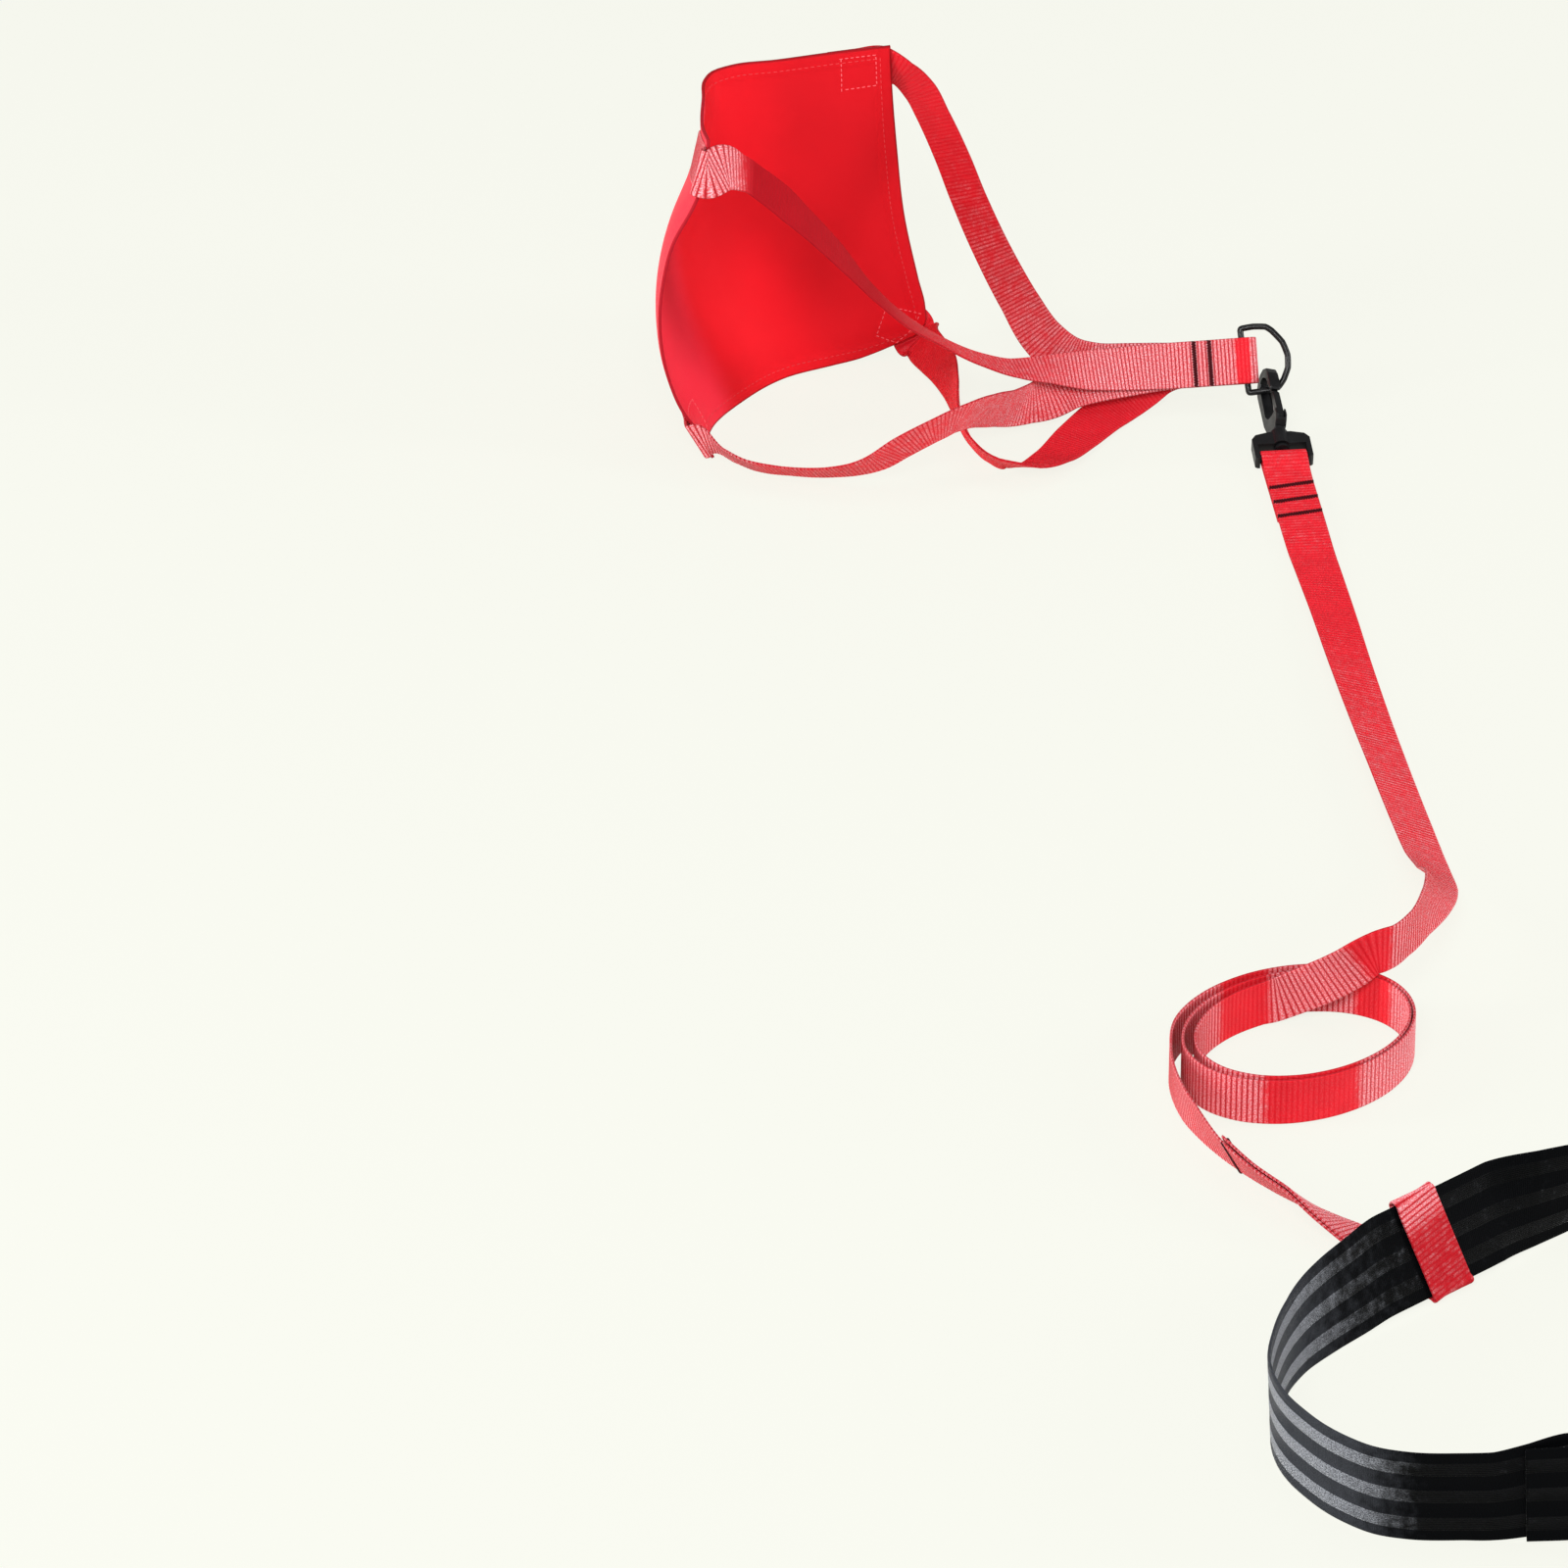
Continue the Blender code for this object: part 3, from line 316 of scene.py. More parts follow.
def lap(path, space):
    """Webbing sewn flat on the chute's back, through u, v places."""
    places = [cloth_place(u, v) + cloth_out(u, v) * (LAP_LIFT + space) for u, v in path]
    knots = []
    for place, along, (u, v) in zip(places, ways(places), path):
        knots.append((place, cloth_out(u, v).cross(along).normalized()))
    return knots


def wrapped(v):
    """Webbing that turns round the near edge from the chute's back."""
    share = STRAP_WIDTH / 2 / (near_edge(1) - near_edge(0)).length
    low, high = near_edge(v - share), near_edge(v + share)
    middle, across = (low + high) / 2, (high - low).normalized()
    lift = LAP_LIFT + (near_edge(v) - middle).length
    inward, out = (cloth_place(0.03, v) - near_edge(v)).normalized(), cloth_out(0.02, v)
    start = middle - inward * lift * 0.75 + out * lift * 0.75
    return [(start, across), (middle - inward * lift * 1.1, across)]


# Tether: from its sewn end at the swivel, along the table, through the coil, and round the waist belt

flat_swivel = Matrix.Translation(metres(SWIVEL_PLACE)) @ Matrix.Rotation(radians(SWIVEL_TURN), 4, "Z")
swivel_frame = flat_swivel @ Matrix.Rotation(radians(SWIVEL_LEAN), 4, "X")

TETHER_FLAT = [
    (276.5, 254, 2.8, 0), (278.8, 236, 1.6, 2), (281.6, 214, 2.2, 5), (287, 172, 3.2, 10),
    (293.8, 115, 4.4, 15), (301, 60, 5.4, 19), (309, 5, 6.2, 22), (317, -48, 7.0, 23), (323, -88, 9, 25),
    (326.5, -118, 16, 32), (325, -148, 27, 56), (317.5, -180, 35, 79), (308, -206, 38.2, 90),
    (298, -221, 39.2, 90), (289, -226.4, 38.9, 90), (276, -228, 30.5, 90), (264, -227.2, 23, 90),
    (252, -226, 16.6, 90), (244, -226.6, 13.4, 90),
]
COIL_CENTRE = (253.0, -268.0)
COIL_SIZE = (55.5, 41.5)
COIL_GROWTH = 4.2
COIL_DRIFT = 2.0
COIL_TURN = 34.0
COIL_FROM = 83.0
COIL_TO = 878.0
COIL_STEPS = 36

# Lower edge places, with the lean in degrees from upright toward the right of the way along
TETHER_EXIT = [
    (194, -318, 0.1, 6), (204, -339, 0.1, 14), (218, -360, 0.1, 28), (234, -379, 0.1, 37),
    (250, -395, 0.1, 43), (267, -408, 0.3, 62), (282, -418, 0.45, 78),
]
LOOP_PLACE = (315.5, -467.0, 0.0)
LOOP_ALONG = (0.76, 0.65)
LOOP_LEAN = 20.0
LOOP_LIFT = 2.6
LOOP_SLANT = 0.011
LOOP_PLAY = 0.00045
PAIR_STEP = STRAP_THICK + 0.0004
BELT_STEP_OUT = BELT_THICK + 0.0005


def upright(rows, width, thick):
    """Webbing on its edge, from its lower edge's places in millimetres and its lean in degrees."""
    places = [metres(row) for row in rows]
    knots = []
    for place, along, row in zip(places, ways(places), rows):
        side = Vector((along.y, -along.x, 0.0)).normalized()
        tilt = radians(row[3])
        across = side * sin(tilt) + UP * cos(tilt)
        rise = UP * (thick / 2 * abs(sin(tilt)))
        knots.append((place + across * (width / 2) + rise, across))
    return knots


def beside(knots, step):
    """A second layer on the side of the webbing that its width and its way along turn toward."""
    found = []
    for (place, across), along in zip(knots, slopes([place for place, _ in knots])):
        found.append((place + across.cross(along).normalized() * step, across))
    return found


def coil():
    """The wound part, as lower edge rows on the table."""
    rows = []
    turn = radians(COIL_TURN)
    for k in range(COIL_STEPS + 1):
        degrees = COIL_FROM + (COIL_TO - COIL_FROM) * k / COIL_STEPS
        turns = (degrees - COIL_FROM) / 360
        x = (COIL_SIZE[0] + COIL_GROWTH * turns) * cos(radians(degrees))
        y = (COIL_SIZE[1] + COIL_GROWTH * turns) * sin(radians(degrees))
        rows.append((
            COIL_CENTRE[0] - COIL_DRIFT * turns + x * cos(turn) - y * sin(turn),
            COIL_CENTRE[1] + x * sin(turn) + y * cos(turn), 0.2, 0.0,
        ))
    return rows


loop_along = Vector((*LOOP_ALONG, 0.0)).normalized()
loop_out = UP.cross(loop_along)
loop_place = metres(LOOP_PLACE)
loop_lean = radians(LOOP_LEAN)
belt_rise = UP * cos(loop_lean) + loop_out * sin(loop_lean)
belt_face = loop_out * cos(loop_lean) - UP * sin(loop_lean)
belt_foot = loop_place + UP * (LOOP_LIFT * MM + BELT_THICK / 2 * sin(loop_lean))


def by_loop(rows):
    """Places at the loop, by their way out and height in millimetres."""
    return [loop_place + loop_out * n * MM + UP * z * MM for n, z in rows]


def belt_loop():
    """The tether's loop round the leaning belt: in under it, up inside, over the top and down outside."""
    inner = BELT_THICK / 2 + LOOP_PLAY + STRAP_THICK / 2
    top = BELT_WIDTH - 0.0002
    spots = by_loop([(30, 0.86), (14, 0.86), (2.4, 0.88), (-0.9, 1.5), (-2.1, 2.9)])
    spots += [belt_foot - belt_face * inner + belt_rise * s * MM for s in (1.6, 4, 14, 26, 37, 46)]
    spots += [belt_foot + belt_face * x + belt_rise * (top + y) for x, y in arc(inner, 180, 0, 6)]
    spots += by_loop([(18.9, 43), (18.6, 34), (18.8, 24), (19.8, 13), (21.8, 7.2), (25, 4.6)])
    slants = [loop_along * LOOP_SLANT * (spot.z - spots[0].z) / BELT_WIDTH for spot in spots]
    return [(spot - slant, -loop_along) for spot, slant in zip(spots, slants)]


swivel_bend = SWIVEL_BAR / 2 + FIT_GAP + STRAP_THICK / 2
fold_side = [(-0.064, -0.0033), (-0.030, -0.0033), (-0.012, -0.00325), (-0.003, -0.0031)]
fold_side += arc(swivel_bend, -90, 90, 6)
fold_side += [(-0.006, 0.0022), (-0.013, 0.0001), (-0.021, -0.0009), (-0.028, -0.00115)]
fold_side += [(-0.036, -0.00115), (-0.050, -0.0011), (-0.060, -0.0010)]
exit_knots = upright(coil() + TETHER_EXIT, STRAP_WIDTH, STRAP_THICK)
loop_knots = belt_loop()
tail_knots = beside(exit_knots + loop_knots[:2], PAIR_STEP)[-7:-1][::-1]
tether_knots = framed(flat_swivel, [(0.0, y, z) for y, z in fold_side], (1.0, 0.0, 0.0))
tether_knots += rolled(TETHER_FLAT) + exit_knots + loop_knots + tail_knots


# Waist belt on its edge, from the female buckle half round to the male half

BUCKLE_BAR_PLACE = (523.0, -672.0, 32.0)
BELT_RIGHT = [
    (556, -664, 7, 0), (580, -650, 6.5, 0), (603, -620, 4.5, 0), (617, -580, 1.5, 0), (624, -535, 0.1, 0),
    (624, -490, 0.1, 0), (613, -448, 0.1, 0), (590, -412, 0.1, 0), (556, -386, 0.1, 0),
    (518, -375, 0.1, 0), (478, -373, 0.1, 0), (440, -380, 0.1, 0), (405, -396, 0.1, -2),
    (376, -413, 0.1, -2), (361, -426, 0.8, 6),
]
BELT_LEFT = [
    (274, -503, 1.0, 16), (258, -518, 0.1, 11), (245, -533, 0.1, 6), (236, -549, 0.1, 3),
    (229, -573, 0.1, 3), (226, -597, 0.1, 3), (228, -611, 0.1, 3), (233, -625, 0.1, 3),
    (240, -637, 0.1, 3), (248, -648, 0.1, 3), (257, -657, 0.1, 3), (270, -666, 0.1, 3),
    (284, -670, 0.1, 3), (311, -671, 0.1, 3),
]
BELT_NEAR = [
    (324, -671, 0.1, 2), (340, -671, 2.2, -2), (358, -671, 5.6, -7), (376, -671, 6.9, -5),
    (396, -671, 7, -1), (406, -671, 7, 0), (415, -671, 7, 0),
]
ADJUST_TAIL = [
    (415, -673.3, 7, 0), (405, -673.3, 6.8, 0), (394, -673.4, 5.6, 1), (376, -673.5, 3.8, 3),
    (358, -673.5, 1.9, 3), (338, -673.4, 1.0, 2),
]
LOOP_SPOTS = (36.0, 26.0, 0.0, -26.0, -36.0)

belt_loop_rows = [
    (LOOP_PLACE[0] + loop_along.x * s, LOOP_PLACE[1] + loop_along.y * s, LOOP_LIFT, LOOP_LEAN)
    for s in LOOP_SPOTS
]
belt_rows = BELT_RIGHT + belt_loop_rows + BELT_LEFT + BELT_NEAR
belt_knots = upright(belt_rows, BELT_WIDTH, BELT_THICK)
belt_bend = BUCKLE_BAR / 2 + FIT_GAP + BELT_THICK / 2
bar_frame = Matrix.Translation(metres(BUCKLE_BAR_PLACE))
female_bend = [(x, y, 0.0) for x, y in arc(belt_bend, 90, 270, 8)]
female_out = [(0.008, -0.0020, 0.0), (0.018, 0.0010, 0.0)]
sewn = beside(framed(bar_frame, female_out, UP) + belt_knots[:2], -BELT_STEP_OUT)[::-1]
female_knots = sewn[:3] + framed(bar_frame, female_bend + female_out, UP)


# Adjusting end: on through the male half's two bars and back along the belt's outer face

adjust_side = [(-0.0317, 0.0), (-0.012, 0.0)] + arc(belt_bend, 90, -90, 8, (0.0, -belt_bend))
adjust_side += [(-0.004, -0.0050), (-0.008, -0.0031), (-0.011, -0.0023), (-0.018, -0.0023)]
adjust_rows = [(x, y, 0.0) for x, y in adjust_side]
adjust_knots = framed(Matrix.Translation(metres(BUCKLE_PLACE)), adjust_rows, UP)
adjust_knots += upright(ADJUST_TAIL, BELT_WIDTH, BELT_THICK)


# Materials: every one is made of nodes, and the woven ones read real lengths from their first map


class Nodes:
    """Short calls for the node tree of a new material or world."""

    def __init__(self, name, world=False):
        self.owner = (bpy.data.worlds if world else bpy.data.materials).new(name)
        self.owner.use_nodes = True
        self.tree = self.owner.node_tree
        self.shader = self.tree.nodes["Background" if world else "Principled BSDF"]
        self.output = self.tree.nodes["World Output" if world else "Material Output"]

    def add(self, kind, **values):
        node = self.tree.nodes.new("ShaderNode" + kind)
        for key, value in values.items():
            setattr(node, key, value)
        return node

    def put(self, socket, value):
        if isinstance(value, bpy.types.NodeSocket):
            self.tree.links.new(value, socket)
        elif isinstance(value, tuple):
            socket.default_value = (*value, 1.0)
        else:
            socket.default_value = value

    def math(self, operation, first, second=0.0, third=0.0):
        node = self.add("Math", operation=operation)
        for socket, value in zip(node.inputs, (first, second, third)):
            self.put(socket, value)
        return node.outputs[0]

    def plus(self, first, second):
        return self.math("ADD", first, second)

    def times(self, first, second):
        return self.math("MULTIPLY", first, second)

    def scaled(self, value, scale, offset):
        return self.math("MULTIPLY_ADD", value, scale, offset)

    def mix(self, share, first, second):
        node = self.add("Mix", data_type="RGBA")
        for k, value in ((0, share), (6, first), (7, second)):
            self.put(node.inputs[k], value)
        return node.outputs[2]

    def ramp(self, value, low, high, first=0.0, last=1.0):
        node = self.add("MapRange", interpolation_type="SMOOTHSTEP")
        for socket, number in zip(node.inputs, (value, low, high, first, last)):
            self.put(socket, number)
        return node.outputs[0]

    def wave(self, value, pitch):
        """From 0 to 1 and back once in each pitch."""
        return self.scaled(self.math("SINE", self.times(value, 2 * pi / pitch)), 0.5, 0.5)

    def noise(self, vector, size, detail=2.0, roughness=0.5):
        node = self.add("TexNoise")
        values = {"Vector": vector, "Scale": 1 / size, "Detail": detail, "Roughness": roughness}
        for key, value in values.items():
            self.put(node.inputs[key], value)
        return node.outputs[0]

    def bump(self, height, depth):
        node = self.add("Bump")
        node.inputs["Distance"].default_value = depth
        self.put(node.inputs["Height"], height)
        return node.outputs[0]

    def finish(self, colour, roughness, normal=None, **sockets):
        sockets.update(Base_Color=colour, Roughness=roughness)
        if normal:
            sockets["Normal"] = normal
        for key, value in sockets.items():
            self.put(self.shader.inputs[key.replace("_", " ")], value)
        return self.owner

    def mix_shaders(self, share, colour, kind):
        """Mix a plain shader of one colour over the first one."""
        plain, mixed = self.add(kind), self.add("MixShader")
        self.put(plain.inputs["Color"], colour)
        for socket, value in zip(mixed.inputs, (share, self.shader.outputs[0], plain.outputs[0])):
            self.put(socket, value)
        self.put(self.output.inputs["Surface"], mixed.outputs[0])


def map_values(n, name="UVMap"):
    """A map's vector and its two values: lengths across and along in the first map, looks in the second."""
    node = n.add("UVMap", uv_map=name)
    split = n.add("SeparateXYZ")
    n.put(split.inputs[0], node.outputs[0])
    return node.outputs[0], split.outputs[0], split.outputs[1]


RIB_PITCH = 0.0021
TETHER_PITCH = 0.0027
RED = (0.87, 0.0080, 0.022)
DEEP_RED = (0.56, 0.004, 0.012)
# The next two colours are painted: shade in dark red, and glints in pink.
SHADE_RED = (0.30, 0.0025, 0.007)
GLINT_PINK = (0.97, 0.60, 0.65)
EDGE_RED = (0.30, 0.004, 0.010)


def red_webbing(name, pitch, depth):
    """Ribbed webbing with pale flecks of painted highlight along some stretches and painted shade along
    others; the painted shade in its grooves is stronger where the highlight is.
    """
    n = Nodes(name)
    both, across, along = map_values(n)
    _, pale, dark = map_values(n, "Extra")
    groove = n.math("POWER", n.wave(along, pitch), 2.0)
    mottle = n.noise(both, 0.012, 3.0)
    speck = n.noise(both, 0.0007, 2.0, 0.7)
    patch = n.noise(both, 0.005, 4.0, 0.65)
    painted_light = n.ramp(n.plus(pale, n.scaled(patch, 1.0, -0.5)), 0.15, 0.85)
    base = n.mix(n.ramp(mottle, 0.3, 0.7, 0.0, 0.25), RED, DEEP_RED)
    # Painted shade: darker red where the second map's dark value is.
    base = n.mix(n.times(dark, 0.68), base, SHADE_RED)
    # Painted shade in the rib grooves, stronger where the painted highlight is.
    base = n.mix(n.times(groove, n.scaled(painted_light, depth, 0.13)), base, SHADE_RED)
    # Pink flecks on the rib tops are painted glints: a few everywhere but in the painted shade, many where
    # the painted highlight is.
    fleck = n.scaled(n.ramp(speck, 0.44, 0.60), 0.80, 0.20)
    shine = n.times(fleck, n.math("SUBTRACT", 1.0, groove))
    least = n.scaled(dark, -0.07, 0.07)
    base = n.mix(n.times(shine, n.scaled(painted_light, 0.80, least)), base, GLINT_PINK)
    rim = n.ramp(n.math("ABSOLUTE", across), STRAP_WIDTH * 0.480, STRAP_WIDTH * 0.494, 0.0, 0.6)
    base = n.mix(rim, base, EDGE_RED)
    weave = n.plus(n.times(n.wave(across, 0.00078), 0.6), n.times(speck, 1.2))
    rough = n.math("MAXIMUM", n.ramp(speck, 0.45, 0.72, 0.60, 0.24), n.times(dark, 0.95))
    return n.finish(
        base, rough, n.bump(weave, 0.00025),
        Specular_IOR_Level=0.13, Sheen_Weight=0.01, Sheen_Roughness=0.3,
    )


def painted_light_share(n, both):
    """How far the belt's weave carries painted sheen, pale with a broken edge."""
    patch = n.noise(both, 0.006, 4.0, 0.65)
    return n.ramp(n.plus(map_values(n, "Extra")[1], n.scaled(patch, 0.9, -0.45)), 0.10, 0.95)


def black_ground():
    n = Nodes("black ground weave")
    both, _, along = map_values(n)
    speck = n.noise(both, 0.0006, 2.0, 0.7)
    base = n.mix(speck, (0.0008, 0.0009, 0.0011), (0.0030, 0.0033, 0.0042))
    # Painted sheen: paler flecks where the belt's weave is marked for painted light.
    base = n.mix(n.times(speck, painted_light_share(n, both)), base, (0.075, 0.080, 0.094))
    weave = n.plus(n.times(n.wave(along, 0.0011), 0.7), n.times(speck, 0.8))
    return n.finish(
        base, 0.68, n.bump(weave, 0.00016),
        Specular_IOR_Level=0.03, Sheen_Weight=0.22, Sheen_Roughness=0.12,
    )


def black_satin():
    """The lengthwise bands, whose long floats catch light that comes from the side, with painted sheen on
    them at the bend.
    """
    n = Nodes("black satin weave")
    both, across, _ = map_values(n)
    speck = n.noise(both, 0.0008, 3.0, 0.7)
    broken = n.ramp(n.noise(both, 0.006, 3.0), 0.35, 0.60)
    base = n.mix(n.times(speck, broken), (0.0010, 0.0011, 0.0014), (0.0024, 0.0026, 0.0034))
    floats = n.scaled(n.ramp(speck, 0.36, 0.62), 0.75, 0.20)
    # Painted sheen: pale flecks on the bands where the belt's weave is marked for painted light.
    base = n.mix(n.times(floats, painted_light_share(n, both)), base, (0.36, 0.375, 0.42))
    weave = n.plus(n.wave(across, 0.0010), n.times(speck, 0.6))
    return n.finish(
        base, n.ramp(speck, 0.3, 0.7, 0.50, 0.30), n.bump(weave, 0.00022),
        Specular_IOR_Level=0.05, Sheen_Weight=0.45, Sheen_Roughness=0.12,
    )


def red_cloth():
    """Cloth with painted light that makes its near side pinker, painted shade that makes its far side
    darker, and darkest at its turned edge.
    """
    n = Nodes("red cloth")
    both, across, along = map_values(n)
    threads = n.times(n.wave(across, 0.00055), n.wave(along, 0.00055))
    cloud = n.noise(both, 0.045, 3.0)
    grain = n.noise(both, 0.0009, 2.0)
    mottle = n.ramp(cloud, 0.3, 0.7, 0.0, 0.35)
    base = n.mix(mottle, (0.80, 0.0078, 0.0175), (0.68, 0.0058, 0.0125))
    place = n.plus(across, n.scaled(cloud, 0.02, -0.01))
    # Painted light: the near side is pinker.
    base = n.mix(n.ramp(place, 0.078, 0.052, 0.0, 0.9), base, (0.93, 0.032, 0.066))
    # Painted shade: the far side is darker.
    base = n.mix(n.ramp(place, 0.125, 0.165, 0.0, 0.6), base, (0.62, 0.0060, 0.0130))
    base = n.mix(n.times(threads, 0.06), base, (0.95, 0.04, 0.05))
    rim = n.ramp(map_values(n, "Extra")[1], 0.0014, 0.0002, 0.0, 0.75)
    base = n.mix(rim, base, (0.26, 0.002, 0.006))
    weave = n.plus(threads, n.times(grain, 0.5))
    return n.finish(
        base, 0.52, n.bump(weave, 0.00008),
        Specular_IOR_Level=0.10, Sheen_Weight=0.03, Sheen_Roughness=0.35,
    )


def black_plastic():
    n = Nodes("black plastic")
    place = n.add("TexCoord").outputs["Object"]
    grain = n.noise(place, 0.0006, 3.0, 0.6)
    wear = n.noise(place, 0.006, 3.0)
    rubbed = n.ramp(wear, 0.45, 0.75, 0.0, 0.6)
    base = n.mix(rubbed, (0.0035, 0.0036, 0.0042), (0.010, 0.0105, 0.012))
    rough = n.ramp(wear, 0.3, 0.7, 0.34, 0.46)
    return n.finish(base, rough, n.bump(grain, 0.00006), Specular_IOR_Level=0.28)


def black_wire():
    n = Nodes("black wire")
    grain = n.noise(n.add("TexCoord").outputs["Object"], 0.0009, 3.0, 0.6)
    rubbed = n.ramp(grain, 0.55, 0.75, 0.0, 0.5)
    base = n.mix(rubbed, (0.0025, 0.0025, 0.003), (0.012, 0.012, 0.013))
    rough = n.ramp(grain, 0.3, 0.7, 0.26, 0.40)
    return n.finish(base, rough, n.bump(grain, 0.00005), Specular_IOR_Level=0.34)


def spring_steel():
    n = Nodes("spring steel")
    grain = n.noise(n.add("TexCoord").outputs["Object"], 0.0005, 2.0)
    base = n.mix(grain, (0.42, 0.42, 0.44), (0.60, 0.60, 0.62))
    return n.finish(base, 0.32, n.bump(grain, 0.00003), Metallic=1.0)


def thread(name, light, dark):
    n = Nodes(name)
    twist = n.noise(n.add("TexCoord").outputs["Object"], 0.0004, 2.0)
    return n.finish(n.mix(twist, light, dark), 0.60, n.bump(twist, 0.00008), Specular_IOR_Level=0.12)


bridle_weave = red_webbing("red bridle webbing", RIB_PITCH, 0.62)
tether_weave = red_webbing("red tether webbing", TETHER_PITCH, 0.42)
cloth = red_cloth()
black_weave = [black_ground(), black_satin()]
plastic, wire, steel = black_plastic(), black_wire(), spring_steel()
maroon_thread = thread("maroon thread", (0.075, 0.003, 0.006), (0.03, 0.001, 0.003))
red_thread = thread("red thread", (0.85, 0.10, 0.11), (0.62, 0.03, 0.04))
pink_thread = thread("pink thread", (0.92, 0.20, 0.23), (0.85, 0.08, 0.10))
black_thread = thread("black thread", (0.012, 0.012, 0.013), (0.004, 0.004, 0.005))


# Meshes


def new_piece(name, verts, faces, material, body, slot, node=None, uv=None, extra=None):
    """A smooth piece that rides on a body and takes a node's place, with one or two maps if given."""
    mesh = bpy.data.meshes.new(name)
    mesh.from_pydata([tuple(v) for v in verts], [], faces)
    for look in material if isinstance(material, list) else [material]:
        mesh.materials.append(look)
    corner = np.zeros(len(mesh.loops), np.int32)
    mesh.loops.foreach_get("vertex_index", corner)
    for title, rows in (("UVMap", uv), ("Extra", extra)):
        if rows is not None:
            layer = mesh.uv_layers.new(name=title)
            layer.data.foreach_set("uv", np.asarray(rows, np.float32)[corner].ravel())
    mesh.shade_smooth()
    mesh.update()
    made = placed(name, mesh)
    if body:
        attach(made, body)
    if node:
        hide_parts(node)
    return made


def bridged(a, b, count):
    """Faces between two rings of the same count, whose first vertices are given."""
    return [(a + k, a + (k + 1) % count, b + (k + 1) % count, b + k) for k in range(count)]


def unit(rows):
    return rows / np.linalg.norm(rows, axis=1)[:, None]


BAND_RAISE = 0.0001
BEND_EASE = 0.55
WIRE_SIDES = 20

# Shares of the webbing's width: places drawn, round edge, the roll inside it, the ribs' end, satin bands
STRAP_EDGE = (0.5, 0.497, 0.488, 0.472, 0.455, 0.435, 0.40, 0.24, 0.08)
STRAP_SPOTS = tuple(-spot for spot in STRAP_EDGE) + STRAP_EDGE[::-1]
BELT_EDGE = (0.5, 0.498, 0.490, 0.478, 0.465, 0.445, 0.42)
EDGE_ROUND = 0.030
ROLL_PLACE = 0.455
ROLL_REACH = 0.018
RIB_END = 0.44
RIB_FADE = 0.03
BAND_CENTRES = (-0.30, 0.01, 0.32)
BAND_HALF = 0.072
BAND_STEPS = (-0.078, -0.071, 0.0, 0.071, 0.078)
BAND_SPOTS = tuple(centre + step for centre in BAND_CENTRES for step in BAND_STEPS)
BELT_SPOTS = tuple(-spot for spot in BELT_EDGE) + BAND_SPOTS + BELT_EDGE[::-1]


def half_thickness(spot, thick, roll):
    """Half the thickness at a share of the width: round edges, with a small roll inside them."""
    far = max(0.0, (abs(spot) - 0.5 + EDGE_ROUND) / EDGE_ROUND)
    bead = exp(-(((abs(spot) - ROLL_PLACE) / ROLL_REACH) ** 2)) * roll
    return (thick / 2 + bead) * sqrt(max(0.0, 1 - far * far))


def in_band(spot):
    return any(abs(spot - centre) < BAND_HALF for centre in BAND_CENTRES)


def webbing_run(knots, pitch):
    """Places, widths, outward directions and lengths of a finely divided strap."""
    run = eased(knots, pitch / 4)
    place = np.array([tuple(p) for p, _ in run])
    across = np.array([tuple(w) for _, w in run])
    along = unit(np.gradient(place, axis=0))
    across = unit(across - along * (across * along).sum(1)[:, None])
    out = np.cross(along, across)
    reach = np.concatenate([[0.0], np.cumsum(np.linalg.norm(np.diff(place, axis=0), axis=1))])
    return place, across, out, reach


def webbing(
    name, knots, width, thick, pitch, ridge, roll, material, body, slot, node, painted_light=None, banded=False,
):
    """A strap with its ribs or raised bands, rounded edges and cut ends as real shape."""
    place, across, out, reach = webbing_run(knots, pitch)
    wave = 1 - 2 * np.abs(np.sin(np.pi * reach / pitch)) ** 3
    spots = BELT_SPOTS if banded else STRAP_SPOTS
    share = np.array(spots + spots[-2:0:-1])
    face = np.repeat((1.0, -1.0), (len(spots), len(spots) - 2))
    raised = [BAND_RAISE if banded and in_band(spot) else 0.0 for spot in share]
    half = np.array([half_thickness(spot, thick, roll) for spot in share]) + raised
    calm = ridge * (1 - np.clip((np.abs(share) - RIB_END) / RIB_FADE, 0, 1))
    height = (half + wave[:, None] * calm) * face
    aside = share * width
    grid = place[:, None] + across[:, None] * aside[:, None] + out[:, None] * height[:, :, None]
    uv = np.stack(np.broadcast_arrays(aside[None, :], reach[:, None]), axis=2)
    rows, count = height.shape
    extra = np.zeros((rows, count, 2))
    # The second map carries painted highlight and painted shade along the strap.
    if painted_light:
        extra[:] = np.stack(painted_light(*(place / MM - ROUTE_ZERO).T), axis=1)[:, None]
    faces = []
    for i in range(rows - 1):
        faces += bridged(i * count, (i + 1) * count, count)
    faces += [range(count)[::-1], range((rows - 1) * count, rows * count)]
    maps = uv.reshape(-1, 2), extra.reshape(-1, 2)
    made = new_piece(name, grid.reshape(-1, 3), faces, material, body, slot, node, *maps)
    if banded:
        kind = [int(in_band(spot)) for spot in (share + np.roll(share, -1)) / 2]
        made.data.polygons.foreach_set("material_index", kind * (rows - 1) + [0, 0])
    return made


